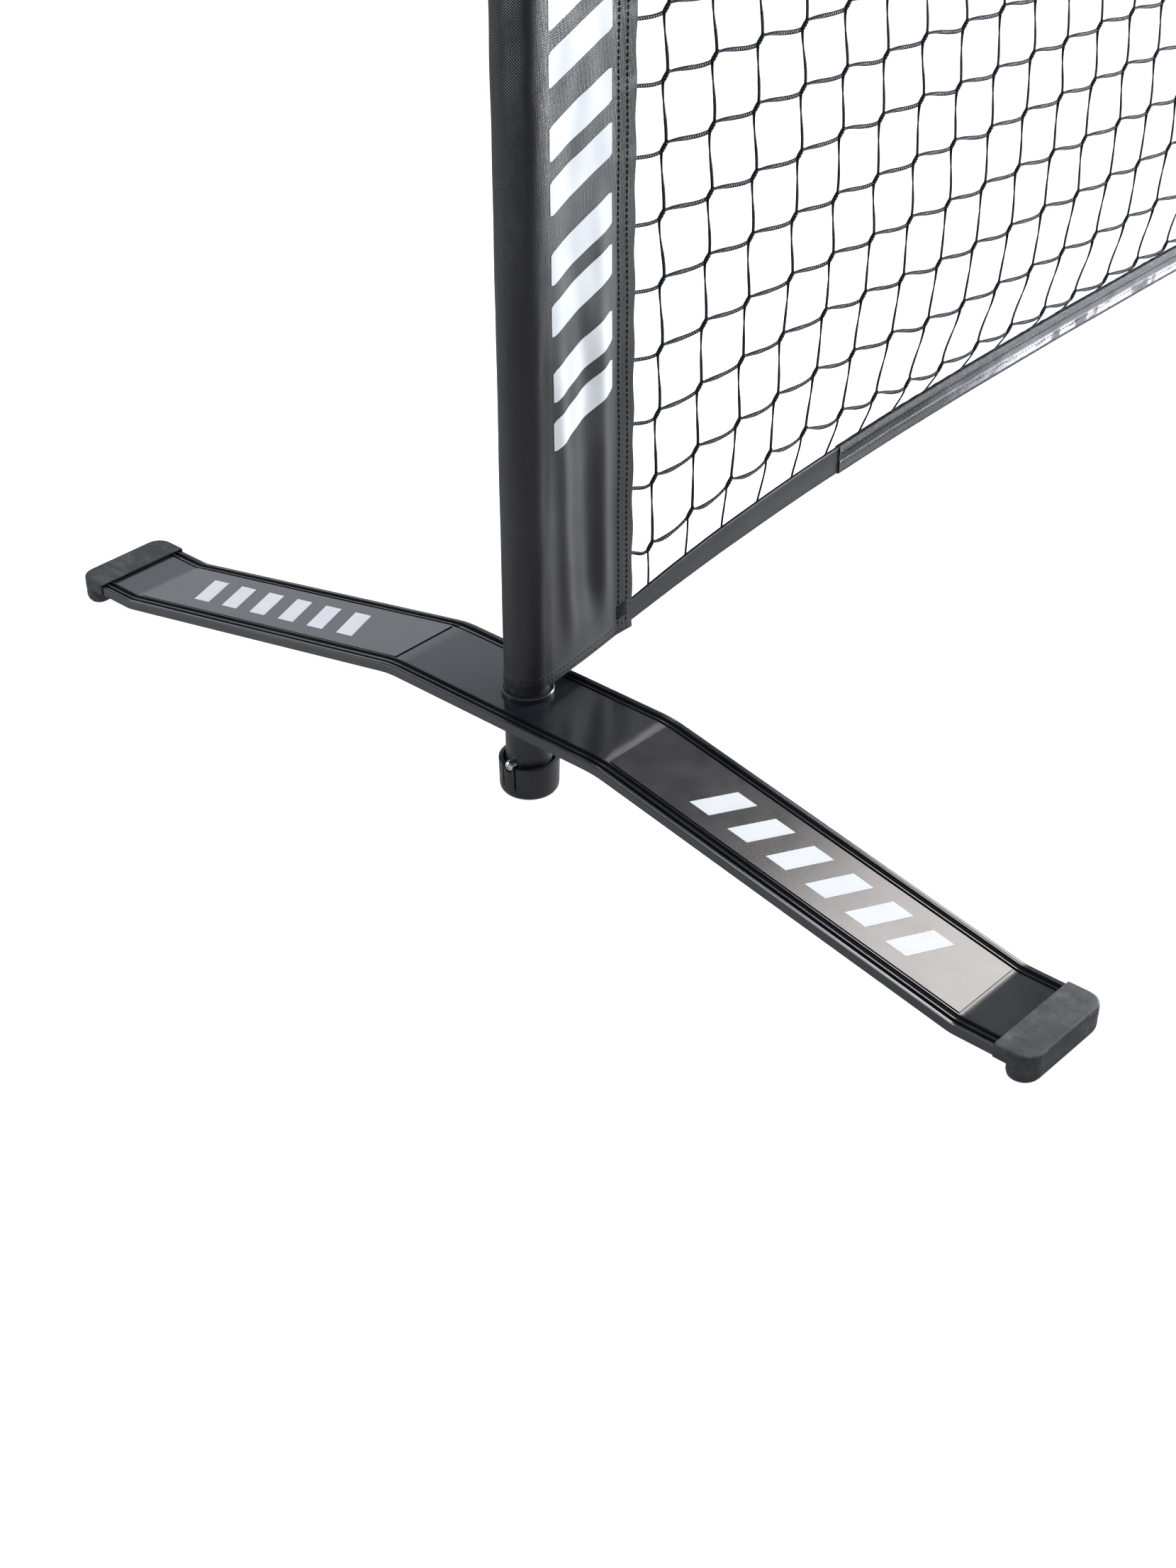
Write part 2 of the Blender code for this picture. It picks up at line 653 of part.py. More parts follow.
for side in ("left", "right"):
    axis = swing_axis(side)
    hard = [make_leg(side), make_ring(side), make_collar(side), make_lower_tube(side), make_cup(side),
            make_button(side), make_spring(side), make_post(side), make_elbow(side)]
    # On the right the half turn swaps front and rear, so the names are swapped to suit.
    front = -1 if side == "left" else 1
    for end, sign in (("front", front), ("rear", -front)):
        hard.append(make_cap(side, end, sign))
        hard.append(make_label(side, end, sign))
    for obj in hard:
        obj.parent = axis
    sleeve = make_sleeve(side)
    if side == "right":
        sleeve.data.transform(Matrix.Scale(-1, 4, (1, 0, 0)))
        sleeve.data.flip_normals()
    sleeve.location.x = -SPAN / 2 if side == "left" else SPAN / 2

BUTTON_SHIFT = 0.030
rail_half = SPAN / 2 - RAIL_END
joint_low = -RAIL_JOINT
joint_high = RAIL_JOINT
make_rail("rail_left", -rail_half, joint_low - GAP, [joint_low - BUTTON_SHIFT])
make_rail("rail_middle", joint_low + GAP, joint_high - GAP, [])
make_rail("rail_right", joint_high + GAP, rail_half, [joint_high + BUTTON_SHIFT])
make_ferrule("rail_ferrule_left", joint_low, joint_low - BUTTON_SHIFT)
make_ferrule("rail_ferrule_right", joint_high, joint_high + BUTTON_SHIFT)
make_rail_button("rail_button_left", joint_low - BUTTON_SHIFT)
make_rail_button("rail_button_right", joint_high + BUTTON_SHIFT)
make_tape()
net_half = SPAN / 2 - SLEEVE_EDGE - GAP
standing_panel("net_mesh", lambda x: hem_top(x) + GAP, lambda x: TAPE_FOOT - GAP, net_half, 0.0016, NET_Y,
               NET_CORD)
standing_panel("bottom_hem", hem_foot, hem_top, net_half, HEM_THICK, NET_Y, SLEEVE_CLOTH)
make_strap()
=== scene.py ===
"""Looks of the portable court net: cords, sewn cloth, coated steel, rubber and the studio round them."""
import math
import random

import bmesh
import bpy
from mathutils import Matrix, Vector, noise


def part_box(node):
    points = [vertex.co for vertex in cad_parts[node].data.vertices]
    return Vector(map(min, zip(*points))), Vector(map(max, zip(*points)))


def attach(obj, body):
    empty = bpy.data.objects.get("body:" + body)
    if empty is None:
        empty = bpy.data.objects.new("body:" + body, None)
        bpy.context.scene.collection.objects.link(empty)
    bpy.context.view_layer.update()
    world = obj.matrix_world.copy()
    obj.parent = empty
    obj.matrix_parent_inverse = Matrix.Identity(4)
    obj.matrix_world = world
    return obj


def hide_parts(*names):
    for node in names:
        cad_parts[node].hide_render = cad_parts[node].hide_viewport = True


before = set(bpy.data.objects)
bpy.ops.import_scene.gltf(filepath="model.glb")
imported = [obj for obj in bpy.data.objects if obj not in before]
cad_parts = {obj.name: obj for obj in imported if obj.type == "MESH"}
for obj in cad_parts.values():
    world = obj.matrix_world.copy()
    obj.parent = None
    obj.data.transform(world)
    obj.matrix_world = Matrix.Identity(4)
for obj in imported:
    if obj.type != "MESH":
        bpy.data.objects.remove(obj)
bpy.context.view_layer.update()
SCENE = bpy.context.scene

# ---------------- places read from the frame
def middle(node):
    low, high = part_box(node)
    return (low + high) / 2


LEFT_X = middle("left_post").x
RIGHT_X = middle("right_post").x
HALF_SPAN = (RIGHT_X - LEFT_X) / 2
NET_Y = middle("net_mesh").y
SLEEVE_LOW, SLEEVE_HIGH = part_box("left_sleeve")
SLEEVE_FOOT = SLEEVE_LOW.z
SLEEVE_TOP = SLEEVE_HIGH.z
SLEEVE_R = LEFT_X - SLEEVE_LOW.x
FLAP_EDGE = SLEEVE_HIGH.x - LEFT_X
TAPE_LOW, TAPE_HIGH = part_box("top_tape")
TAPE_FOOT = TAPE_LOW.z
TAPE_HALF = TAPE_HIGH.x
RAIL_Z = middle("rail_middle").z
TAPE_R = TAPE_HIGH.z - RAIL_Z
STRAP_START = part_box("hem_strap")[0].x - LEFT_X

# The hem's line, as the CAD hem has it: level in the middle, pulled down towards each post.
HEM_DROP = 0.0465
HEM_FADE = 0.22
HEM_LEVEL = 0.158
HEM_CORNER = 0.106
HEM_TALL = 0.0225
HEM_CORNER_TALL = 0.017
HEM_TALL_FADE = 0.1


def hem_top(from_post):
    return HEM_LEVEL - HEM_DROP * math.exp(-(from_post - HEM_CORNER) / HEM_FADE)


def hem_tall(from_post):
    return HEM_TALL - (HEM_TALL - HEM_CORNER_TALL) * math.exp(-(from_post - HEM_CORNER) / HEM_TALL_FADE)


# ---------------- mesh building
class Build:
    """Collects vertices, faces, slots and texture coordinates, and makes one object of them."""

    def __init__(self):
        self.verts = []
        self.faces = []
        self.slots = []
        self.coords = []

    def grid(self, rows, slot=0, wrap=False, uv=None, flip=False):
        """Faces over rows of points, all rows the same length. wrap closes each row."""
        start = len(self.verts)
        width = len(rows[0])
        for row in rows:
            self.verts.extend(row)
        for i in range(len(rows) - 1):
            for j in range(width if wrap else width - 1):
                k = (j + 1) % width
                face = (start + i * width + j, start + i * width + k,
                        start + (i + 1) * width + k, start + (i + 1) * width + j)
                places = ((i, j), (i, j + 1), (i + 1, j + 1), (i + 1, j))
                if flip:
                    face = face[::-1]
                    places = places[::-1]
                self.faces.append(face)
                self.slots.append(slot(i, j) if callable(slot) else slot)
                self.coords.append([uv(*p) if uv else (0, 0) for p in places])

    def cap(self, ring, slot=0, flip=False):
        """One face over a ring of points."""
        start = len(self.verts)
        self.verts.extend(ring)
        face = tuple(range(start, start + len(ring)))
        self.faces.append(face[::-1] if flip else face)
        self.slots.append(slot)
        self.coords.append([(0, 0)] * len(ring))

    def make(self, name, materials, weld=1e-6, sharp=None):
        mesh = bpy.data.meshes.new(name)
        mesh.from_pydata([tuple(v) for v in self.verts], [], self.faces)
        layer = mesh.uv_layers.new(name="weave")
        flat = [c for corners in self.coords for uv in corners for c in uv]
        layer.data.foreach_set("uv", flat)
        mesh.polygons.foreach_set("material_index", self.slots)
        for item in materials:
            mesh.materials.append(item)
        mesh.shade_smooth()
        obj = bpy.data.objects.new(name, mesh)
        SCENE.collection.objects.link(obj)
        if weld:
            shape = bmesh.new()
            shape.from_mesh(mesh)
            bmesh.ops.remove_doubles(shape, verts=shape.verts, dist=weld)
            shape.to_mesh(mesh)
            shape.free()
        if sharp:
            mesh.set_sharp_from_angle(angle=math.radians(sharp))
        return obj


def tube(build, line, across, sides=6, twist=None, start=0.0, closed=True):
    """A swept oval along a line that lies near the net's plane. across(t) gives its two half widths."""
    rows = []
    count = len(line)
    length = start
    lengths = []
    for i, point in enumerate(line):
        before = line[max(i - 1, 0)]
        after = line[min(i + 1, count - 1)]
        run = (after - before).normalized()
        side = run.cross(Vector((0, 1, 0)))
        side = side.normalized() if side.length > 1e-6 else Vector((0, 0, 1))
        out = side.cross(run).normalized()
        wide, thin = across(i / (count - 1))
        turn = twist(i / (count - 1)) if twist else 0.0
        a = side * math.cos(turn) + out * math.sin(turn)
        b = out * math.cos(turn) - side * math.sin(turn)
        if i:
            length += (point - line[i - 1]).length
        lengths.append(length)
        rows.append([point + a * wide * math.cos(2 * math.pi * s / sides)
                     + b * thin * math.sin(2 * math.pi * s / sides) for s in range(sides)])
    build.grid(rows, wrap=True, uv=lambda i, j: (j / sides, lengths[i] * 100), flip=True)
    if closed:
        build.cap(rows[0])
        build.cap(rows[-1], flip=True)


def hermite(a, b, leave, arrive, steps):
    """A curve from a to b with its speeds at both ends."""
    points = []
    for i in range(steps + 1):
        t = i / steps
        points.append(a * (2 * t**3 - 3 * t**2 + 1) + leave * (t**3 - 2 * t**2 + t)
                      + b * (3 * t**2 - 2 * t**3) + arrive * (t**3 - t**2))
    return points


# ---------------- node materials
class Nodes:
    """Short calls for a node tree."""

    def __init__(self, tree):
        self.tree = tree

    def node(self, kind, **values):
        made = self.tree.nodes.new(kind)
        for key, value in values.items():
            if hasattr(made, key) and key not in made.inputs:
                setattr(made, key, value)
            else:
                made.inputs[key.replace("_", " ")].default_value = value
        return made

    def link(self, a, b):
        self.tree.links.new(a, b)

    def put(self, value, socket):
        """Links another node's output to a socket, or sets a plain value there."""
        if isinstance(value, bpy.types.NodeSocket):
            self.link(value, socket)
        else:
            socket.default_value = value

    def place(self, kind="Object", scale=(1, 1, 1)):
        where = self.node("ShaderNodeTexCoord")
        mapping = self.node("ShaderNodeMapping")
        mapping.inputs["Scale"].default_value = scale
        self.link(where.outputs[kind], mapping.inputs["Vector"])
        return mapping.outputs["Vector"]

    def axes(self, vector):
        """A vector's X, Y and Z."""
        parts = self.node("ShaderNodeSeparateXYZ")
        self.link(vector, parts.inputs[0])
        return tuple(parts.outputs)

    def noise(self, vector, scale, detail=3.0, rough=0.6):
        made = self.node("ShaderNodeTexNoise", Scale=scale, Detail=detail, Roughness=rough)
        self.link(vector, made.inputs["Vector"])
        return made.outputs["Fac"]

    def math(self, operation, *values):
        made = self.node("ShaderNodeMath", operation=operation)
        for socket, value in zip(made.inputs, values):
            self.put(value, socket)
        return made.outputs[0]

    def times(self, a, b):
        return self.math("MULTIPLY", a, b)

    def sum(self, a, b):
        return self.math("ADD", a, b)

    def mix(self, a, share_a, b, share_b):
        """a * share_a + b * share_b."""
        return self.sum(self.times(a, share_a), self.times(b, share_b))

    def apart(self, a, b):
        """How far a is from b."""
        return self.math("ABSOLUTE", self.math("SUBTRACT", a, b))

    def sine(self, value, pitch):
        """A sine wave that repeats after each pitch."""
        return self.math("SINE", self.times(value, 2 * math.pi / pitch))

    def ridge(self, value):
        """0 to 1 and back over each unit of value."""
        return self.math("ABSOLUTE", self.sine(value, 2))

    def ramp(self, value, stops):
        made = self.node("ShaderNodeValToRGB")
        ramp = made.color_ramp
        while len(ramp.elements) < len(stops):
            ramp.elements.new(0.5)
        for element, (place, colour) in zip(ramp.elements, stops):
            element.position = place
            element.color = (*colour, 1)
        self.link(value, made.inputs["Fac"])
        return made.outputs["Color"]

    def span(self, value, low, high, out_low, out_high, smooth=False):
        made = self.node("ShaderNodeMapRange")
        if smooth:
            made.interpolation_type = "SMOOTHSTEP"
        for key, number in zip(("From Min", "From Max", "To Min", "To Max"), (low, high, out_low, out_high)):
            made.inputs[key].default_value = number
        self.link(value, made.inputs["Value"])
        return made.outputs["Result"]

    def layer(self, under, over, share=1.0, blend="MIX"):
        """One colour laid over another."""
        made = self.node("ShaderNodeMix", data_type="RGBA", blend_type=blend)
        self.put(share, made.inputs["Factor"])
        self.put(under, made.inputs[6])
        self.put(over, made.inputs[7])
        return made.outputs[2]

    def grey(self, value):
        made = self.node("ShaderNodeCombineColor")
        for channel in ("Red", "Green", "Blue"):
            self.link(value, made.inputs[channel])
        return made.outputs[0]

    def bump(self, height, strength, distance, after=None):
        made = self.node("ShaderNodeBump", Strength=strength, Distance=distance)
        self.link(height, made.inputs["Height"])
        if after:
            self.link(after, made.inputs["Normal"])
        return made.outputs["Normal"]


class Shade(Nodes):
    """A material of one shader, with short calls for its sockets."""

    def __init__(self, name, colour, roughness, **sockets):
        self.material = bpy.data.materials.new(name)
        self.material.use_nodes = True
        super().__init__(self.material.node_tree)
        self.shader = self.tree.nodes["Principled BSDF"]
        self.set("Base Color", (*colour, 1))
        self.set("Roughness", roughness)
        for key, value in sockets.items():
            self.set(key.replace("_", " "), value)

    def set(self, socket, value):
        self.shader.inputs[socket].default_value = value

    def relief(self, *bump):
        self.link(self.bump(*bump), self.shader.inputs["Normal"])

    def colour(self, output, stops=None):
        self.link(self.ramp(output, stops) if stops else output, self.shader.inputs["Base Color"])

    def rough(self, value, *span):
        self.link(self.span(value, *span), self.shader.inputs["Roughness"])


def plain_material(name, colour, roughness, cloud, tones, shine, grain, bump, **sockets):
    """A plain surface: a cloud of tone and shine over it, and a fine grain for its bump.

    cloud and grain are noise scale, detail and roughness; shine maps the cloud to roughness."""
    shade = Shade(name, colour, roughness, **sockets)
    where = shade.place()
    tone = shade.noise(where, *cloud)
    if tones:
        shade.colour(tone, tones)
    if shine:
        shade.rough(tone, *shine)
    shade.relief(shade.noise(where, *grain), *bump)
    return shade.material


def weave_height(shade, pitch):
    """Over-and-under yarns: two crossed ridges that take turns to lie on top."""
    u, v, _ = shade.axes(shade.place("UV", (1 / pitch, 1 / pitch, 1)))
    return shade.math("ABSOLUTE", shade.times(shade.sine(u, 2), shade.sine(v, 2)))


def coated_cloth(name, colour, rough_low, rough_high, pitch, depth, sheen=0.0):
    """Woven polyester under a thin clear coating: yarns show as bumps, worn spots shine."""
    shade = Shade(name, colour, rough_low, Specular_IOR_Level=0.55, Sheen_Weight=sheen)
    where = shade.place()
    cloud = shade.noise(where, 9.0, 4.0)
    yarn = weave_height(shade, pitch)
    dark = tuple(c * 0.72 for c in colour)
    light = tuple(min(1, c * 1.35) for c in colour)
    shade.colour(shade.mix(cloud, 0.7, yarn, 0.3), [(0.28, dark), (0.68, light)])
    shade.rough(cloud, 0.35, 0.65, rough_low, rough_high)
    fine = shade.noise(where, 900.0, 2.0)
    shade.relief(fine, 0.12, 0.0004, shade.bump(yarn, 0.55, depth))
    return shade.material


GLINT_PITCH = 0.0019        # open yarns of the sleeve's cloth
# colour of the painted highlights on the sleeve's weave
PAINTED_GLINT_COLOUR = (0.95, 0.98, 1.0, 1)
CORD_ROW = 0.1686           # height of the lowest cord at the sleeve, and half the rows' pitch
CORD_HALF_PITCH = 0.0225


def painted_sleeve_glints(shade, along, height):
    """Mask of the painted highlights on the weave: in two bands beside the print, and at each cord laced to
    the flap.
    """
    def band(centre, half):
        return shade.span(shade.apart(along, centre), half * 0.55, half * 1.25, 1.0, 0.0)

    bands = shade.math("MAXIMUM", band(0.118, 0.006), band(0.097, 0.008))
    patch = shade.noise(shade.place(), 26.0, 4.0)
    # thin is the mask of the painted highlights: the two bands, higher up only, in patches
    thin = shade.times(bands, shade.span(height, 0.36, 0.56, 0.0, 1.0))
    thin = shade.times(thin, shade.span(patch, 0.36, 0.58, 0.12, 1.0))
    # more painted highlights where the laced cords meet the flap
    near_cord = shade.math("PINGPONG", shade.math("SUBTRACT", height, CORD_ROW), CORD_HALF_PITCH)
    at_cord = shade.times(shade.span(near_cord, 0.0015, 0.0055, 1.0, 0.0),
                          shade.span(along, 0.018, 0.03, 1.0, 0.0))
    at_cord = shade.times(at_cord, shade.span(height, 0.4, 0.5, 0.0, 0.8))
    dot = shade.times(shade.sine(along, GLINT_PITCH), shade.sine(height, GLINT_PITCH))
    return shade.times(shade.span(dot, 0.2, 0.7, 0.0, 1.0), shade.math("MAXIMUM", thin, at_cord))


def sleeve_material():
    """Coated polyester: smooth below, its open weave showing higher up, with highlights painted into its
    colour there.
    """
    shade = Shade("sleeve_cloth", (0.022, 0.022, 0.025), 0.46)
    where = shade.place()
    along, height, _ = shade.axes(shade.place("UV"))
    cloud = shade.noise(where, 8.0, 4.0)
    yarn = weave_height(shade, 0.0015)
    base = shade.ramp(shade.mix(cloud, 0.75, yarn, 0.25),
                      [(0.28, (0.013, 0.014, 0.02)), (0.48, (0.026, 0.024, 0.026)),
                       (0.68, (0.044, 0.045, 0.056))])
    # painted highlights laid over the cloth's colour
    glinting = shade.layer(base, PAINTED_GLINT_COLOUR, painted_sleeve_glints(shade, along, height))
    # a darker strip along the flap
    strip = shade.span(shade.apart(along, 0.015), 0.0045, 0.006, 0.55, 1.0)
    strip = shade.times(strip, shade.span(height, 0.28, 0.5, 1.0, 0.62))
    shade.colour(shade.layer(glinting, shade.grey(strip), blend="MULTIPLY"))
    shade.rough(cloud, 0.35, 0.65, 0.4, 0.54)
    # slanting ribs and yarns, both deeper higher up
    ribs = shade.math("SINE", shade.mix(height, 2 * math.pi / 0.0016, along, 2 * math.pi / 0.0042))
    ribbed = shade.times(shade.times(ribs, 0.5), shade.span(height, 0.26, 0.46, 0.0, 1.0))
    relief = shade.sum(ribbed, shade.times(yarn, shade.span(height, 0.26, 0.46, 0.25, 0.8)))
    fine = shade.noise(where, 900.0, 2.0)
    shade.relief(fine, 0.1, 0.0003, shade.bump(relief, 0.55, 0.0003))
    return shade.material


def cord_material():
    """Two near-black navy plies laid together, with small glints on their crowns."""
    shade = Shade("net_cord", (0.005, 0.006, 0.012), 0.5, Specular_IOR_Level=0.15)
    around, along, _ = shade.axes(shade.place("UV"))
    ply = shade.ridge(shade.mix(around, 2.0, along, 4.2))
    fuzz = shade.noise(shade.place(), 1500.0, 2.0)
    shade.colour(shade.mix(ply, 0.6, fuzz, 0.5),
                 [(0.3, (0.0015, 0.002, 0.005)), (0.7, (0.005, 0.006, 0.012)), (0.95, (0.022, 0.026, 0.044))])
    shade.relief(fuzz, 0.3, 0.0003, shade.bump(ply, 0.9, 0.0007))
    return shade.material


def from_post_mask(shade, low, high):
    """0 nearer to the posts than low, 1 further than high, along the net."""
    x = shade.axes(shade.place())[0]
    return shade.span(shade.math("SUBTRACT", HALF_SPAN, shade.math("ABSOLUTE", x)), low, high, 0.0, 1.0)


def fray_material():
    """Rough upper binding of the strap: matted yarns with pale broken fibres."""
    shade = Shade("strap_binding", (0.04, 0.04, 0.046), 0.62)
    matted = shade.noise(shade.place("Object", (1, 1, 2.5)), 330.0, 5.0, 0.75)
    fibre = shade.noise(shade.place("Object", (0.25, 1, 1)), 1300.0, 3.0)
    mixed = shade.mix(matted, 0.65, fibre, 0.35)
    shade.colour(mixed, [(0.4, (0.01, 0.01, 0.013)), (0.54, (0.036, 0.036, 0.043)),
                         (0.66, (0.2, 0.205, 0.225))])
    shade.relief(mixed, 0.8, 0.0012)
    return shade.material


STRAP_RIB = 0.0022


def strap_ribs(shade):
    """0 to 1 over each slanting rib of the strap's webbing."""
    u, v, _ = shade.axes(shade.place("UV", (1 / STRAP_RIB, 1 / STRAP_RIB, 1)))
    return shade.ridge(shade.sum(u, shade.times(v, 0.35)))


def rib_material():
    """Ribbed strap webbing: fine ribs across it, plainer near the posts."""
    shade = Shade("ribbed_strap", (0.05, 0.05, 0.056), 0.45)
    rib = strap_ribs(shade)
    clear = shade.sum(shade.times(from_post_mask(shade, 0.4, 0.56), 0.75), 0.25)
    cloud = shade.noise(shade.place(), 45.0, 4.0, 0.65)
    shade.colour(shade.mix(shade.times(rib, clear), 0.5, cloud, 0.6),
                 [(0.25, (0.012, 0.012, 0.016)), (0.5, (0.052, 0.053, 0.062)),
                  (0.8, (0.36, 0.365, 0.39))])
    shade.rough(cloud, 0.35, 0.65, 0.34, 0.55)
    shade.relief(rib, 0.8, 0.0006)
    return shade.material


def gloss_band_material():
    """Coated lower band of the strap, which glares in blocks further along."""
    shade = Shade("strap_band", (0.085, 0.085, 0.095), 0.26, Coat_Weight=0.5, Coat_Roughness=0.18)
    block = shade.noise(shade.place("Object", (1, 0, 0.4)), 26.0, 2.0)
    crack = shade.noise(shade.place("Object", (1, 1, 4)), 75.0, 5.0, 0.7)
    lit = shade.times(from_post_mask(shade, 0.47, 0.6), shade.span(block, 0.4, 0.47, 0.22, 1.0))
    lit = shade.times(lit, shade.span(crack, 0.36, 0.5, 0.4, 1.0))
    lit = shade.times(lit, shade.span(strap_ribs(shade), 0.0, 0.5, 0.72, 1.0))
    shade.colour(shade.mix(lit, 0.8, crack, 0.2),
                 [(0.05, (0.03, 0.03, 0.036)), (0.14, (0.07, 0.071, 0.082)),
                  (0.45, (0.34, 0.345, 0.37)), (0.8, (0.85, 0.85, 0.85))])
    ripple = shade.noise(shade.place("Object", (1, 1, 6)), 90.0, 2.0)
    shade.relief(ripple, 0.2, 0.0012)
    return shade.material


def rubber_material():
    """Moulded rubber with bloom: cloudy paler film, scuffs and a fine matt grain."""
    shade = Shade("rubber", (0.08, 0.08, 0.087), 0.62, Specular_IOR_Level=0.35)
    where = shade.place()
    bloom = shade.noise(where, 70.0, 7.0, 0.72)
    large = shade.noise(where, 24.0, 4.0)
    scuff = shade.noise(shade.place("Object", (1, 0.35, 1)), 130.0, 6.0, 0.75)
    mixed = shade.sum(shade.mix(bloom, 0.45, large, 0.3), shade.times(scuff, 0.25))
    shade.colour(mixed, [(0.4, (0.026, 0.026, 0.029)), (0.49, (0.052, 0.052, 0.056)),
                         (0.54, (0.078, 0.078, 0.084)), (0.62, (0.15, 0.149, 0.154))])
    shade.rough(bloom, 0.35, 0.65, 0.48, 0.75)
    grain = shade.noise(where, 800.0, 3.0)
    shade.relief(grain, 0.25, 0.0004, shade.bump(bloom, 0.25, 0.0012))
    return shade.material


SLEEVE_CLOTH = sleeve_material()
BINDING = coated_cloth("binding_cloth", (0.024, 0.024, 0.028), 0.4, 0.55, 0.0013, 0.0002)
TAPE_CLOTH = coated_cloth("tape_cloth", (0.74, 0.74, 0.72), 0.5, 0.68, 0.0012, 0.00025, 0.1)
PRINT = plain_material(
    "white_print", (0.86, 0.88, 0.9), 0.4, (30.0, 4.0),
    [(0.3, (0.7, 0.73, 0.75)), (0.7, (0.77, 0.79, 0.81))], None, (700.0, 2.0), (0.1, 0.0003))
CORD = cord_material()
THREAD = plain_material(
    "thread", (0.006, 0.006, 0.008), 0.6, (1200.0, 2.0),
    [(0.3, (0.003, 0.003, 0.004)), (0.7, (0.01, 0.01, 0.012))], None, (1200.0, 2.0), (0.3, 0.0003),
    Specular_IOR_Level=0.25)
RIBBED = rib_material()
BAND = gloss_band_material()
FRAYED = fray_material()
RUBBER = rubber_material()
# gloss black enamel with faint orange peel and dust
ENAMEL = plain_material(
    "black_enamel", (0.014, 0.015, 0.018), 0.18, (16.0, 4.0),
    [(0.35, (0.011, 0.012, 0.016)), (0.7, (0.024, 0.025, 0.03))], (0.3, 0.7, 0.14, 0.24),
    (420.0, 2.0), (0.08, 0.0004), IOR=1.6, Coat_Weight=0.5, Coat_Roughness=0.14)
# satin powder coat of the tubes
POWDER = plain_material(
    "powder_coat", (0.03, 0.03, 0.034), 0.36, (25.0, 3.0),
    [(0.3, (0.026, 0.026, 0.03)), (0.7, (0.04, 0.04, 0.045))], (0.3, 0.7, 0.3, 0.44),
    (1400.0, 2.0), (0.18, 0.0003), Specular_IOR_Level=0.5)
# glossy black label film over steel: cloudy clear layer with a fine leathery orange peel
FILM = plain_material(
    "label_film", (0.016, 0.016, 0.018), 0.2, (42.0, 6.0, 0.7),
    [(0.35, (0.012, 0.012, 0.014)), (0.65, (0.02, 0.019, 0.021))], (0.35, 0.65, 0.19, 0.25),
    (620.0, 3.0, 0.6), (0.18, 0.0003), IOR=1.6, Coat_Weight=0.5, Coat_Roughness=0.16)
# satin moulded nylon
MOULDED = plain_material(
    "moulded_nylon", (0.03, 0.03, 0.034), 0.3, (45.0, 4.0),
    [(0.3, (0.026, 0.026, 0.029)), (0.7, (0.036, 0.036, 0.04))], (0.3, 0.7, 0.26, 0.38),
    (1100.0, 3.0), (0.15, 0.0003), Specular_IOR_Level=0.5)
# bright plated spring steel with fine turning marks
PLATED = plain_material(
    "plated_steel", (0.72, 0.73, 0.75), 0.16, (2200.0, 2.0), None, (0.3, 0.7, 0.12, 0.26),
    (2200.0, 2.0), (0.06, 0.0002), Metallic=1.0)

FINISHES = ((ENAMEL, ("leg",)),
            (MOULDED, ("leg_ring", "foot_cup", "elbow")),
            (POWDER, ("stop_collar", "lower_tube", "post")),
            (RUBBER, ("front_cap", "rear_cap")),
            (FILM, ("front_label", "rear_label")),
            (PLATED, ("snap_button", "snap_spring")))


def finish_node(node, material):
    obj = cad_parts[node]
    obj.data.materials.clear()
    obj.data.materials.append(material)


for end in ("left", "right"):
    for material, parts in FINISHES:
        for part in parts:
            finish_node(f"{end}_{part}", material)
    finish_node(f"rail_button_{end}", PLATED)
    finish_node(f"rail_{end}", POWDER)
    finish_node(f"rail_ferrule_{end}", POWDER)
finish_node("rail_middle", POWDER)


def assign(item, **values):
    for key, value in values.items():
        setattr(item, key, value)


def modify(obj, kind, **values):
    assign(obj.modifiers.new(kind.lower(), kind), **values)


def split_edges(obj, degrees):
    modify(obj, "EDGE_SPLIT", split_angle=math.radians(degrees), use_edge_sharp=False)


SPLIT_ANGLES = {"leg": 8, "front_cap": 40, "rear_cap": 40}     # degrees, and 28 for the rest


def smooth_node(node):
    """Shades a CAD node's facets as one surface between its real edges, without touching its mesh."""
    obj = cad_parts[node]
    part = node.split("_", 1)[-1]
    if "custom_normal" in obj.data.attributes:
        obj.data.attributes.remove(obj.data.attributes["custom_normal"])
    obj.data.shade_smooth()
    modify(obj, "WELD", merge_threshold=0.00001)
    if part == "foot_cup":
        modify(obj, "DECIMATE", decimate_type="DISSOLVE", angle_limit=math.radians(0.5))
        modify(obj, "BEVEL", width=0.0003, segments=2, limit_method="ANGLE", angle_limit=math.radians(40),
               harden_normals=True)
    else:
        split_edges(obj, SPLIT_ANGLES.get(part, 28))
    if part in ("front_cap", "rear_cap"):
        modify(obj, "WEIGHTED_NORMAL", weight=80)


for node_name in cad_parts:
    smooth_node(node_name)


# ---------------- the net
MESH_ROW = 0.045
ROWS = 15
FIRST_ROW = 0.1636
FIRST_COLUMN = 0.131
END_PITCH = 0.0476
END_COLUMNS = 9
INTERVALS = 59
JOINT = Vector((0.0023, 0, 0.0023))     # from a joint's middle to its upper, inner end
JOINT_OVERLAP = 0.0022
CORD_STEPS = 10
CORD_HALVES = (0.00172, 0.00068)        # half width and half thickness of a doubled cord
HEM_CORD_HALVES = (0.00092, 0.00075)
TAPE_CORD_HALVES = (0.0015, 0.00078)
LACING_HALVES = (0.0015, 0.00085)
LACING_DEPTH = 0.003                    # how far each lacing cord goes into the flap
rng = random.Random(7)


def column_places():
    """Each column's distance from the left post: one pitch at the ends, another between them."""
    inner = (2 * HALF_SPAN - 2 * FIRST_COLUMN - 2 * END_COLUMNS * END_PITCH) / (INTERVALS - 2 * END_COLUMNS)
    places = [FIRST_COLUMN]
    for i in range(INTERVALS):
        near_end = i < END_COLUMNS or i >= INTERVALS - END_COLUMNS
        places.append(places[-1] + (END_PITCH if near_end else inner))
    return places


COLUMNS = column_places()


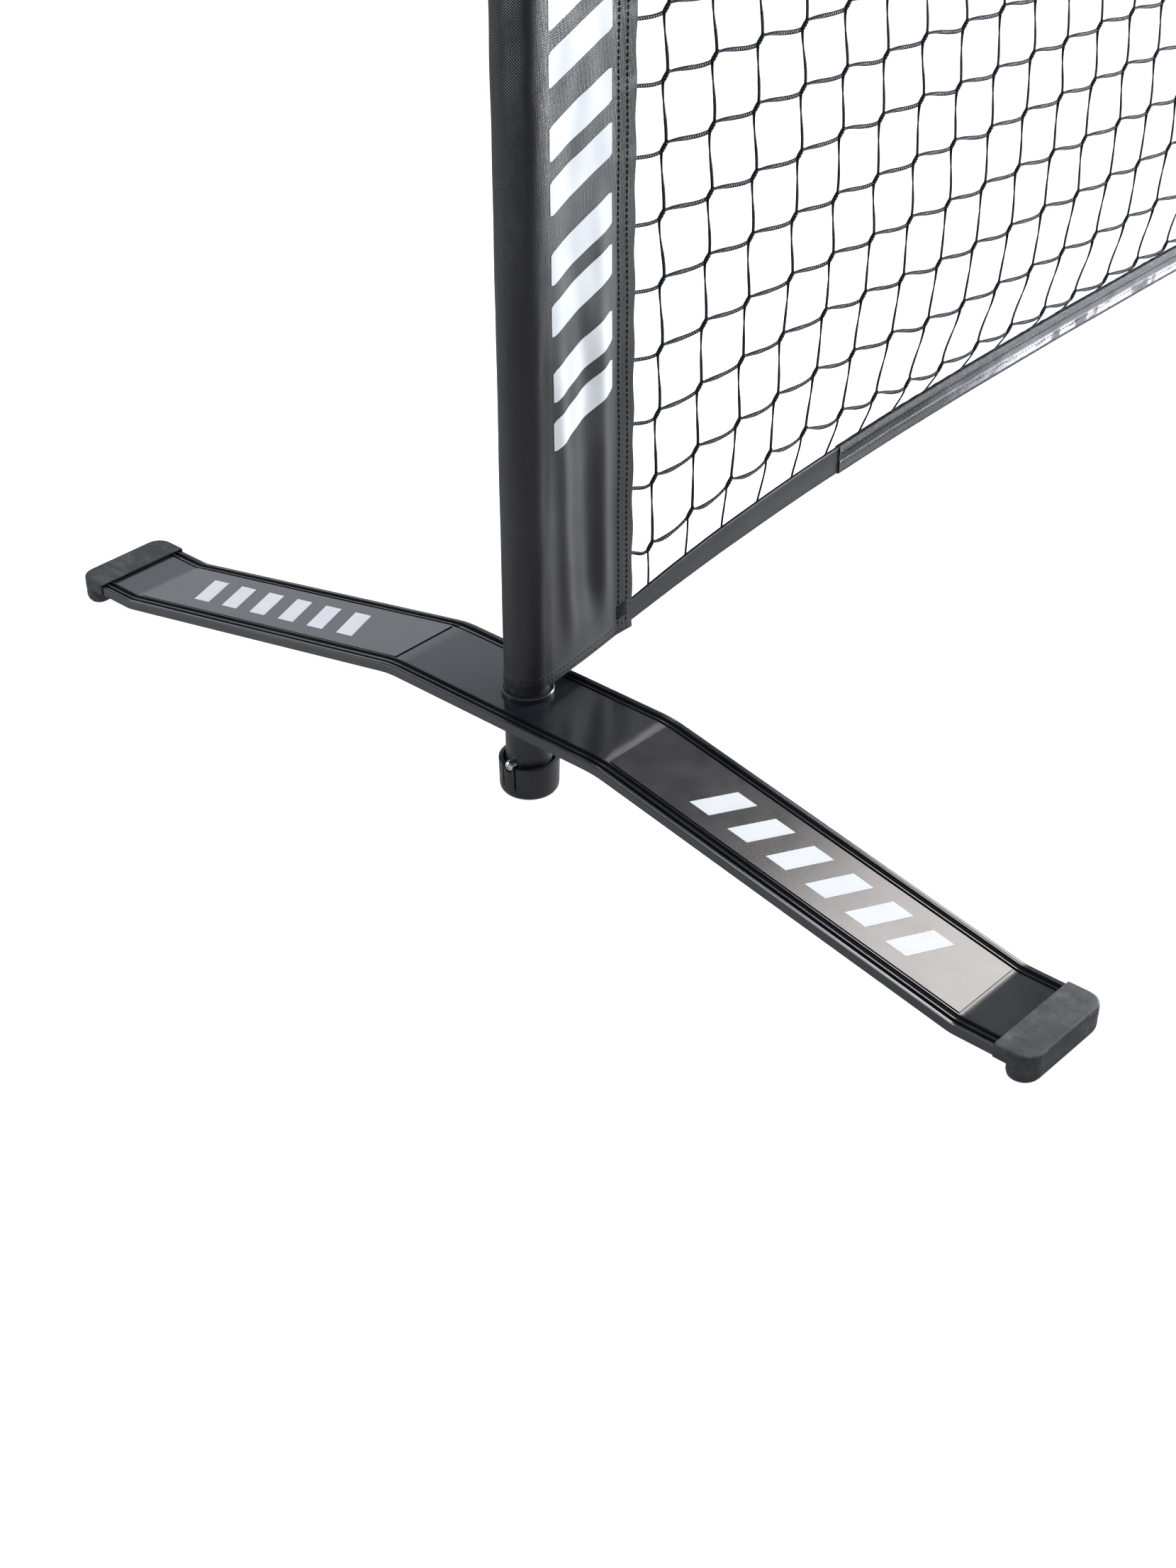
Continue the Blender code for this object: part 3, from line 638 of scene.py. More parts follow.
def end_pull(column):
    """(sign of the nearer post, number of the column counted from it, how much of the pull is left)."""
    place = COLUMNS[column]
    from_left = place < HALF_SPAN
    number = column + 1 if from_left else len(COLUMNS) - column
    from_middle = abs(place - HALF_SPAN)
    left = min(1.0, from_middle / 0.75)
    return (1 if from_left else -1), number, left * left * (3 - 2 * left)


def joint_place(column, row):
    """Middle of a knot. The slack hem draws the lower rows towards the nearer post."""
    sign, number, left = end_pull(column)
    shift = min((0.0045 + 0.0043 * number) * math.exp(-row / 2.3), 0.042 * math.exp(-row / 1.3)) * left
    dip = -0.0185 * math.exp(-(number - 1) / 2.0) + 0.01 * math.exp(-((number - 5.2) / 2.2) ** 2)
    x = COLUMNS[column] - sign * shift + rng.uniform(-0.001, 0.001)
    z = FIRST_ROW + MESH_ROW * row + dip * math.exp(-row / 2.5) + rng.uniform(-0.0011, 0.0011)
    y = NET_Y + rng.uniform(-0.0008, 0.0008)
    return Vector((LEFT_X + x, y, z))


def hem_place(column):
    """Where a column's last cord goes into the hem."""
    sign, number, left = end_pull(column)
    shift = min(0.0042 + 0.007 * number, 0.066) * left
    x = COLUMNS[column] - sign * shift
    from_post = min(x, 2 * HALF_SPAN - x)
    return Vector((LEFT_X + x, NET_Y, hem_top(from_post) - 0.002))


def knot_halves(t):
    """Half widths along a knot."""
    swell = math.sin(math.pi * min(1, max(0, t))) ** 0.6
    return 0.001 + 0.0007 * swell, 0.0009 + 0.0007 * swell


def make_net():
    """Every knot and cord of the net, in two halves."""
    joints = {(c, r): joint_place(c, r) for c in range(len(COLUMNS)) for r in range(ROWS)}
    halves = (Build(), Build())
    split = len(COLUMNS) // 2

    def side_of(column):
        return halves[0] if column < split else halves[1]

    def strand(column, a, b, leave, arrive, steps, halves, swing=math.pi / 2):
        """One doubled cord between two joints: it turns from edge-on to flat along its length."""
        wide, thin = halves
        line = hermite(a, b, Vector(leave), Vector(arrive), steps)
        wave = rng.uniform(-0.0006, 0.0006)
        for i, point in enumerate(line):
            point.y += wave * math.sin(math.pi * i / steps)
        tube(side_of(column), line, lambda t: (wide * (0.86 + 0.14 * t), thin),
             twist=lambda t: swing * (1 - min(1.0, t * 1.7)), start=rng.uniform(0, 0.05))

    for (column, row), centre in joints.items():
        upper = centre + JOINT
        lower = centre - JOINT
        lean = (upper - lower).normalized()
        over = lean * JOINT_OVERLAP
        knot = hermite(lower - over, upper + over, lean * 0.008, lean * 0.008, 6)
        tube(side_of(column), knot, knot_halves, 8, start=rng.uniform(0, 0.05))
        # sideways cord to the next joint
        slack = math.exp(-row / 1.6) * (1.0 if end_pull(column)[1] < 6 else 0.55)
        if column + 1 < len(COLUMNS):
            target = joints[(column + 1, row)] - JOINT
            run = target.x - upper.x
            leave = (run * 0.9, 0, 0.001 - 0.02 * slack * rng.uniform(0.4, 1.0))
            arrive = (run * (0.9 - 0.25 * slack), 0, 0.004 + 0.018 * slack * rng.uniform(0.5, 1.0))
            strand(column, upper, target, leave, arrive, CORD_STEPS, CORD_HALVES)
        # downward cord to the joint below, or to the hem
        if row:
            target = joints[(column, row - 1)] + JOINT
            drop = target.z - lower.z
            strand(column, lower, target, (-0.001, 0, drop), (-0.002, 0, drop), CORD_STEPS, CORD_HALVES)
        else:
            target = hem_place(column)
            drop = target.z - lower.z
            arrive = ((target.x - lower.x) * 0.7, 0, drop * 0.8)
            strand(column, lower, target, (0, 0, drop * 1.1), arrive, CORD_STEPS, HEM_CORD_HALVES)
        # top row up into the tape
        if row == ROWS - 1:
            target = Vector((upper.x, NET_Y, TAPE_FOOT + 0.004))
            strand(column, target, upper, (0, 0, -0.04), (0, 0, -0.04), 6, TAPE_CORD_HALVES)
    # the outer column is laced to the sleeve flaps
    for row in range(ROWS):
        first = joints[(0, row)]
        slack = math.exp(-row / 3.0)
        height = first.z + 0.003 * slack + rng.uniform(-0.0012, 0.001)
        start = Vector((LEFT_X + FLAP_EDGE - LACING_DEPTH, NET_Y, height))
        reach = first.x - JOINT.x - start.x
        strand(0, start, first - JOINT, (reach, 0, -0.004), (reach, 0, 0.003 + 0.006 * slack), 8,
               LACING_HALVES, 0.5)
        last = joints[(len(COLUMNS) - 1, row)]
        end = Vector((RIGHT_X - FLAP_EDGE + LACING_DEPTH, NET_Y, last.z + rng.uniform(0.001, 0.003)))
        reach = end.x - last.x - JOINT.x
        strand(len(COLUMNS) - 1, last + JOINT, end, (reach, 0, -0.001), (reach, 0, 0.001), 8,
               LACING_HALVES, 0.5)
    for build, name in zip(halves, ("net_left_half", "net_right_half")):
        net = build.make(name, [CORD], weld=None)
        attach(net, "net_frame")
        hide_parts("net_mesh")


make_net()


# ---------------- sleeves
SEAM_INNER = 0.084
SEAM_OUTER = 0.093
FLAP_HALF = 0.0013          # from the net's plane to the flap's outer face
CLOTH = 0.0009
WEB_STEPS = 30
FLAP_STEPS = 4
ARC_STEPS = 18


def smoothstep(low, high, value):
    t = min(1.0, max(0.0, (value - low) / (high - low)))
    return t * t * (3 - 2 * t)


def fold(x, z, face):
    """How far the cloth stands out from its taut line between post and seam."""
    t = min(1.0, max(0.0, (x - 0.004) / (SEAM_INNER - 0.004)))
    free = math.sin(math.pi * t)
    low = 1 - smoothstep(0.16, 0.46, z)
    lean = 0.012 * (0.3 - z) / 0.2
    first = math.exp(-((x - 0.018 - lean) / 0.008) ** 2) * 0.0034 * low
    second = math.exp(-((x - 0.067 - lean * 0.4) / 0.0075) ** 2) * 0.003 * low
    valley = -math.exp(-((x - 0.046 - lean) / 0.009) ** 2) * 0.0026 * low
    broad = 0.0008 * math.sin(z * 19.0 + face * 1.7) * free
    wrinkle = 0.001 * noise.noise(Vector((x * 50, z * 26, face * 3.0))) * free
    wander = 0.0014 * noise.noise(Vector((x * 18, z * 9, face * 9.0 + 2.0))) * free
    drape = (first + second + valley) * (1.0 if face > 0 else 0.8) * min(1.0, free * 1.6)
    sewn = smoothstep(SLEEVE_FOOT + 0.006, SLEEVE_FOOT + 0.06, z)
    return (drape + broad + wrinkle + wander) * sewn + 0.001 * free * (1 - sewn)


def flap_scallop(z):
    """The flap's edge, drawn out a little at each cord and in between them."""
    row = (z - FIRST_ROW - 0.004) / MESH_ROW
    return 0.0007 * math.cos(2 * math.pi * row) + 0.0006 * noise.noise(Vector((z * 14, 3.1, 0)))


def sleeve_section(z):
    """Points (x, y, distance along the cloth) from the flap's front edge round the post to its back edge."""
    edge = FLAP_EDGE - 0.0012 + flap_scallop(z)

    def web(t, side):
        """A point between the seam (t 0) and the post (t 1), in front (side 1) or behind (side -1)."""
        x = SEAM_INNER + (0.0028 - SEAM_INNER) * t
        at_seam = NET_Y - side * FLAP_HALF
        at_post = -side * (SLEEVE_R - 0.0002)
        return x, at_seam + (at_post - at_seam) * t ** 1.05 - side * fold(x, z, side)

    points = [(edge + (SEAM_INNER - edge) * i / FLAP_STEPS, NET_Y - FLAP_HALF) for i in range(FLAP_STEPS + 1)]
    points += [web(i / WEB_STEPS, 1) for i in range(1, WEB_STEPS)]
    for i in range(ARC_STEPS + 1):
        a = math.radians(-80 - 200 * i / ARC_STEPS)
        loose = 0.0005 * noise.noise(Vector((math.cos(a) * 3, math.sin(a) * 3, z * 24)))
        r = SLEEVE_R - 0.0004 + loose
        points.append((r * math.cos(a), r * math.sin(a)))
    points += [web(1 - i / WEB_STEPS, -1) for i in range(1, WEB_STEPS)]
    points += [(SEAM_INNER + (edge - SEAM_INNER) * i / FLAP_STEPS, NET_Y + FLAP_HALF)
               for i in range(FLAP_STEPS + 1)]
    made = []
    along = 0.0
    for i, (x, y) in enumerate(points):
        if i:
            along += math.hypot(x - points[i - 1][0], y - points[i - 1][1])
        made.append((x, y, along))
    return made


FRONT_FLAP = FLAP_STEPS + 1
FRONT_COUNT = FRONT_FLAP + WEB_STEPS - 1
HEM_DEPTH = 0.0092
SLEEVE_ROWS = 118


def sleeve_heights():
    """Rows up the sleeve, with a rolled hem at the foot and at the top."""
    low = SLEEVE_FOOT + 0.0004
    high = SLEEVE_TOP - 0.0004
    edge = [0.0, 0.0006, 0.0016, 0.0042, 0.0072, 0.0082, HEM_DEPTH]
    heights = [low + e for e in edge]
    between = high - low - 2 * HEM_DEPTH
    heights += [low + HEM_DEPTH + between * i / SLEEVE_ROWS for i in range(1, SLEEVE_ROWS)]
    heights += [high - e for e in reversed(edge)]
    return heights


def hem_swell(z):
    """Extra thickness of the turned-up hem, outwards."""
    from_end = min(z - SLEEVE_FOOT, SLEEVE_TOP - z)
    if from_end > 0.0088:
        return 0.0
    return 0.0004 * min(1.0, (0.0088 - from_end) / 0.0006) * min(1.0, (from_end + 0.0004) / 0.0012)


def place_end(end, x, y, z):
    """A point drawn at the left post, at the end it belongs to."""
    return Vector((LEFT_X + x if end == "left" else RIGHT_X - x, y, z))


def surface_normal(section, i):
    """Outward normal of the cloth at a point of its section."""
    a = section[max(i - 1, 0)]
    b = section[min(i + 1, len(section) - 1)]
    run = Vector((b[0] - a[0], b[1] - a[1], 0)).normalized()
    out = Vector((run.y, -run.x, 0))
    x, y, _ = section[i]
    if i < FRONT_COUNT:
        outward = Vector((0, -1, 0))
    elif i >= len(section) - FRONT_COUNT:
        outward = Vector((0, 1, 0))
    else:
        outward = Vector((x, y, 0))
    return out if out.dot(outward) > 0 else -out


def cloth_row(end, section, z, lift):
    """The section's points at one height, lifted off the cloth."""
    row = []
    for i, (x, y, _) in enumerate(section):
        out = surface_normal(section, i)
        if i < FRONT_FLAP or i >= len(section) - FRONT_FLAP:
            out = Vector((0, -1 if i < FRONT_FLAP else 1, 0))
        row.append(place_end(end, x + out.x * lift, y + out.y * lift, z))
    return row


def make_sleeve(end):
    """The pocket's cloth: outer and inner faces, closed along the flap's edge and at foot and top."""
    heights = sleeve_heights()
    sections = [sleeve_section(z) for z in heights]
    outer = [cloth_row(end, section, z, hem_swell(z)) for section, z in zip(sections, heights)]
    inner = [cloth_row(end, section, z, -CLOTH) for section, z in zip(sections, heights)]
    flip = end == "right"
    build = Build()
    width = len(sections[0])
    loop = [o + list(reversed(n)) for o, n in zip(outer, inner)]

    def coords(i, j):
        j = j % (2 * width)
        k = j if j < width else 2 * width - 1 - j
        return (sections[i][k][2], heights[i])

    build.grid(loop, wrap=True, uv=coords, flip=not flip)
    for row, turned in ((0, False), (-1, True)):
        build.grid([outer[row], inner[row]], uv=lambda i, j: (j * 0.002, i * 0.001), flip=(turned != flip))
    sleeve = build.make(f"{end}_sleeve_cloth", [SLEEVE_CLOTH], sharp=60)
    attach(sleeve, "net_frame")
    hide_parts(f"{end}_sleeve")


def section_point(z, along, lift):
    """A point on the sleeve's front, a distance along the cloth from the flap's edge, lifted off it."""
    section = sleeve_section(z)
    for i in range(1, len(section)):
        if section[i][2] >= along or i == len(section) - 1:
            a = section[i - 1]
            b = section[i]
            t = (along - a[2]) / max(b[2] - a[2], 1e-9)
            out = surface_normal(section, i)
            return (a[0] + (b[0] - a[0]) * t + out.x * lift, a[1] + (b[1] - a[1]) * t + out.y * lift)


MARK_NEAR = 0.007          # right side of the print, from the seam along the cloth
MARK_FAR = 0.0745           # left side
MARK_FOOT = 0.262
MARK_GROUPS = 4
GROUP_PITCH = 0.08
MARK_PITCH = 0.0345
MARK_TALL = 0.022
MARK_SLANT = 0.02
MARK_CORNER = 0.0012
MARK_LIFT = 0.00022
PRINT_THICK = 0.00012


def mark_point(end, low, u, v):
    """A point of a printed bar whose lower corner is at low: u across it, v up it."""
    inset = MARK_CORNER * (1 - min(1.0, min(u, 1 - u) * 24)) ** 2
    height = low + MARK_SLANT * (1 - u) + inset + (MARK_TALL - 2 * inset) * v
    along = sleeve_section(height)[FRONT_FLAP - 1][2] + MARK_NEAR + (MARK_FAR - MARK_NEAR) * u
    x, y = section_point(height, along, MARK_LIFT)
    return place_end(end, x, y, height)


def add_bar(build, point, across, up, flip):
    """A patch of faces over point(u, v)."""
    rows = [[point(j / across, i / up) for j in range(across + 1)] for i in range(up + 1)]
    build.grid(rows, flip=flip)


def make_print(name, build, body, thickness):
    """Printed marks as one thin film."""
    marks = build.make(name, [PRINT])
    modify(marks, "SOLIDIFY", thickness=thickness, offset=1.0)
    split_edges(marks, 40)
    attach(marks, body)


def make_marks(end):
    """Plain slanting bars in white print, one over the other up the sleeve."""
    build = Build()
    for n in range(2 * MARK_GROUPS):
        low = MARK_FOOT + (n // 2) * GROUP_PITCH + (n % 2) * MARK_PITCH
        add_bar(build, lambda u, v: mark_point(end, low, u, v), 24, 4, flip=(end == "right"))
    make_print(f"{end}_sleeve_print", build, "net_frame", PRINT_THICK)


def stitch(build, a, b, radius, out):
    """One stitch: a short thread that dips into the cloth at each end."""
    lift = out * radius * 0.9
    line = [a - lift * 0.8, a + (b - a) * 0.15 + lift * 0.5, (a + b) / 2 + lift,
            b + (a - b) * 0.15 + lift * 0.5, b - lift * 0.8]
    tube(build, line, lambda t: (radius, radius), 5, closed=False)


def make_threads(name, build, material):
    threads = build.make(name, [material], weld=None)
    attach(threads, "net_frame")


def stitch_starts(first, last, pitch):
    """Where each stitch of a row starts."""
    while first < last:
        yield first
        first += pitch


def make_stitching(end):
    """Two rows down the flap, front and back, two along the foot's hem, and the corner's bar tacks."""
    build = Build()
    pitch = 0.0042
    long = pitch - 0.0011
    front = Vector((0, -1, 0))
    for face in (-1, 1):
        y = NET_Y + face * FLAP_HALF
        for x in (SEAM_INNER + 0.0005, SEAM_OUTER):
            for z in stitch_starts(SLEEVE_FOOT + 0.004, SLEEVE_TOP - 0.004, pitch):
                sway = 0.0003 * math.sin(z * 60) + 0.002 * (1 - smoothstep(0.2, 0.45, z))
                stitch(build, place_end(end, x + sway, y, z), place_end(end, x + sway, y, z + long),
                       0.00034, Vector((0, face, 0)))
    for height in (0.003, 0.0076):
        z = SLEEVE_FOOT + height
        for along in stitch_starts(0.004, 0.118, pitch):
            ends = [place_end(end, *section_point(z, place, 0.0004), z) for place in (along, along + long)]
            stitch(build, *ends, 0.00032, front)
    for bar in range(7):
        z = SLEEVE_FOOT + 0.013 + bar * 0.0016
        y = NET_Y - 0.0015
        stitch(build, place_end(end, SEAM_INNER + 0.0005, y, z),
               place_end(end, SEAM_OUTER + 0.0035, y, z + 0.001), 0.0004, front)
    make_threads(f"{end}_sleeve_stitching", build, THREAD)


for end in ("left", "right"):
    make_sleeve(end)
    make_marks(end)
    make_stitching(end)


# ---------------- hem, strap and top tape
def along_net(low, high, step):
    """Places from low to high, about a step apart."""
    count = max(2, round((high - low) / step))
    return [low + (high - low) * i / count for i in range(count + 1)]


def band(name, places, section, materials, slots):
    """A closed section carried along the net. section(x) gives (y, z) points; slots(j) a material."""
    build = Build()
    rows = []
    girths = []
    for x in places:
        points = section(x)
        rows.append([Vector((x, y, z)) for y, z in points])
        girth = [0.0]
        for a, b in zip(points, points[1:]):
            girth.append(girth[-1] + math.hypot(b[0] - a[0], b[1] - a[1]))
        girths.append(girth)
    width = len(rows[0])

    def coords(i, j):
        return (places[i], girths[i][j % width])

    build.grid(rows, lambda i, j: slots(j), wrap=True, uv=coords)
    build.cap(rows[0], slots(0), flip=True)
    build.cap(rows[-1], slots(0))
    return build.make(name, materials, sharp=50)


def folded(side, bend, cloth):
    """A closed section of cloth folded up over the net's foot: half widths and heights down its front face,
    then the fold's foot. Each layer is as thick as the cloth, and the net's cords go in between them."""
    outer = [(-out, z) for out, z in side] + [(0.0, bend)] + [(out, z) for out, z in reversed(side)]
    inner = [(-out + cloth, z) for out, z in side] + [(0.0, bend + cloth)]
    inner += [(out - cloth, z) for out, z in reversed(side)]
    return outer + inner[::-1]


def hem_section(x):
    """Coated tape folded up over the net's foot, its raised selvedges above."""
    from_post = HALF_SPAN - abs(x)
    top = hem_top(from_post)
    tall = hem_tall(from_post)
    foot = top - tall
    y = NET_Y + 0.0005 * noise.noise(Vector((x * 19, 1.0, 0)))
    side = [(0.0011, top), (0.0015, top - 0.0005), (0.0015, top - 0.0021), (0.0012, top - 0.0028),
            (0.0012, foot + tall * 0.5), (0.0014, foot + 0.004), (0.0017, foot + 0.0018),
            (0.0011, foot + 0.0004)]
    return [(y + out, z) for out, z in folded(side, foot, 0.0006)]


def stitch_along(build, reach, height, away, long, radius):
    """A row of stitches along the net on both faces, at height(x). reach is their first, last and pitch."""
    for x in stitch_starts(*reach):
        for face in (-1, 1):
            start = Vector((x, NET_Y + face * away, height(x)))
            stitch(build, start, start + Vector((long, 0, 0)), radius, Vector((0, face, 0)))


def make_hem():
    """The tape on the net's foot, into both sleeve flaps."""
    reach = HALF_SPAN - FLAP_EDGE + 0.003
    places = along_net(-reach, reach, 0.01)
    hem = band("bottom_hem_tape", places, hem_section, [BINDING], lambda j: 0)
    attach(hem, "net_frame")
    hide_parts("bottom_hem")


def strap_section(x):
    """Strap doubled over the hem: rough binding above, ribbed web, then a smooth band round the foot."""
    from_post = HALF_SPAN - abs(x)
    top = hem_top(from_post) + 0.0003
    foot = hem_top(from_post) - hem_tall(from_post) - 0.0009
    tall = top - foot
    ragged = 0.0007 * noise.noise(Vector((x * 160, 5.0, 0)))
    y = NET_Y + 0.0006 * noise.noise(Vector((x * 13, 8.0, 0)))
    side = [(0.0019, top + ragged), (0.0025, top - 0.0006 + ragged), (0.0025, top - tall * 0.18),
            (0.0027, top - tall * 0.205), (0.0021, top - tall * 0.225), (0.0021, top - tall * 0.51),
            (0.0018, top - tall * 0.53), (0.0027, top - tall * 0.56), (0.0028, top - tall * 0.84),
            (0.0021, foot + 0.0006)]
    return [(y + out, z) for out, z in folded(side, foot, 0.0007)]


STRAP_SIDE = 10
STRAP_FACES = (0, 0, 0, 0, 1, 1, 1, 2, 0, 0)    # binding, ribs, band, and binding again under it


def strap_slot(j):
    """Binding, ribbed or smooth face for a step of the strap's section."""
    around = 2 * STRAP_SIDE + 1
    step = j % around
    step = min(step, around - 1 - step)
    return STRAP_FACES[min(step, STRAP_SIDE - 1)]


def make_strap():
    """The strap on the hem, with two rows of stitches on each face."""
    reach = HALF_SPAN - STRAP_START
    places = along_net(-reach, reach, 0.006)
    strap = band("hem_strap_web", places, strap_section, [FRAYED, RIBBED, BAND], strap_slot)
    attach(strap, "net_frame")
    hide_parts("hem_strap")
    build = Build()
    pitch = 0.0046
    for share in (0.3, 0.66):
        def height(x):
            from_post = HALF_SPAN - abs(x)
            return hem_top(from_post) - hem_tall(from_post) * share

        stitch_along(build, (-reach + 0.004, reach - 0.006, pitch), height, 0.0025, pitch - 0.0012, 0.00034)
    make_threads("hem_strap_stitching", build, THREAD)


def tape_section(x):
    """White tape over the rail: round above, drawn together to two layers sewn along the foot."""
    r = TAPE_R - 0.0003
    sag = 0.0006 * noise.noise(Vector((x * 9, 0.0, 4.0)))
    seam = TAPE_FOOT + 0.019
    arc = []
    for i in range(17):
        a = math.radians(-65 + 310 * i / 16)
        arc.append((r * math.cos(a) * 0.985, RAIL_Z + r * math.sin(a)))

    def side(start, face):
        """Down one side, from the rail to the foot."""
        points = []
        for i in range(1, 7):
            t = i / 6
            y = start[0] + (NET_Y + face * 0.0012 - start[0]) * (1 - (1 - t) ** 1.6)
            points.append((y, start[1] + (seam - start[1]) * t))
        points += [(NET_Y + face * 0.0012, seam - 0.009), (NET_Y + face * 0.0013, TAPE_FOOT + 0.0012 + sag),
                   (NET_Y + face * 0.0006, TAPE_FOOT + 0.0004 + sag)]
        return points

    return arc + side(arc[-1], -1) + side(arc[0], 1)[::-1]


def tape_inside(x):
    """The tape's inner face, a little nearer to the rail's middle."""
    centre_y = NET_Y * 0.4
    return [((y - centre_y) * 0.93 + centre_y, RAIL_Z + (z - RAIL_Z) * 0.93) for y, z in tape_section(x)]


def make_tape():
    """An open-ended tube of cloth: outer skin, inner skin and a rim at each end."""
    places = along_net(-TAPE_HALF, TAPE_HALF, 0.022)
    build = Build()
    outer, inner = ([[Vector((x, y, z)) for y, z in section(x)] for x in places]
                    for section in (tape_section, tape_inside))
    for skin, turned in ((outer, False), (inner, True)):
        build.grid(skin, wrap=True, uv=lambda i, j: (places[i], j * 0.0035), flip=turned)
    for row, turned in ((0, True), (-1, False)):
        build.grid([outer[row], inner[row]], wrap=True, flip=turned)
    tape = build.make("top_tape_cloth", [TAPE_CLOTH], sharp=50)
    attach(tape, "net_frame")
    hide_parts("top_tape")
    section = tape_section(0.0)
    girth = sum(math.dist(a, b) for a, b in zip(section, section[1:]))
    threads = Build()
    pitch = 0.005
    for height in (0.005, 0.017):
        stitch_along(threads, (-TAPE_HALF + 0.004, TAPE_HALF - 0.008, pitch), lambda x: TAPE_FOOT + height,
                     0.00135, pitch - 0.0014, 0.00036)
    make_threads("top_tape_stitching", threads, PRINT)


make_hem()
make_strap()
make_tape()


# ---------------- marks on the label films
BAR_START = 0.0655          # down the label from its upper end
BAR_STEP = 0.0321
BAR_DEPTH = 0.0165
BAR_HALF = 0.0165
BAR_LEAN = 0.014


def make_label_marks(end, part):
    """A row of plain slanting white bars printed on the film."""
    low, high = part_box(f"{end}_{part}_label")
    downhill = -1 if part == "front" else 1
    near_y, far_y = (high.y, low.y) if downhill < 0 else (low.y, high.y)
    slope = (high.z - low.z - 0.0003) / abs(far_y - near_y)
    centre_x = (low.x + high.x) / 2
    build = Build()
    for n in range(6):
        def point(u, v):
            down = BAR_START + n * BAR_STEP + BAR_DEPTH * v + BAR_LEAN * (u - 0.5)
            return Vector((centre_x - BAR_HALF + 2 * BAR_HALF * u, near_y + downhill * down,
                           high.z - slope * down + 0.00012))

        add_bar(build, point, 4, 4, flip=(downhill > 0))
    make_print(f"{end}_{part}_label_print", build, f"{end}_base", 0.0001)


for end in ("left", "right"):
    for part in ("front", "rear"):
        make_label_marks(end, part)


# ---------------- studio
def make_floor():
    """Pale floor that shines white to the camera and is dimmer to other rays."""
    shade = Shade("studio_floor", (0.82, 0.82, 0.82), 0.85, Specular_IOR_Level=0.1,
                  Emission_Color=(1, 1, 1, 1))
    seen = shade.node("ShaderNodeLightPath").outputs["Is Camera Ray"]
    shade.link(shade.span(seen, 0.0, 1.0, 0.2, 0.92), shade.shader.inputs["Emission Strength"])
    cloud = shade.noise(shade.place(), 0.6, 2.0)
    pale = shade.times(shade.span(seen, 0.0, 1.0, 0.45, 1.0), shade.span(cloud, 0.3, 0.7, 0.8, 0.84))
    shade.colour(shade.grey(pale))
    build = Build()
    size = 14.0
    build.grid([[Vector((x, y, -0.0004)) for x in (-size, size)] for y in (-size, size)])
    floor = build.make("studio_floor", [shade.material], weld=None)


def area_light(name, place, target, wide, tall, power, colour=(1, 1, 1), spread=180):
    """Soft lamp, its place and target given from the left post. A narrow spread spares the net's middle."""
    light = bpy.data.lights.new(name, "AREA")
    assign(light, spread=math.radians(spread), shape="RECTANGLE", size=wide, size_y=tall, energy=power,
           color=colour)
    obj = bpy.data.objects.new(name, light)
    obj.location = LAMP_CENTRE + Vector(place)
    obj.rotation_euler = (Vector(target) - Vector(place)).to_track_quat("-Z", "Y").to_euler()
    obj.visible_camera = False
    SCENE.collection.objects.link(obj)


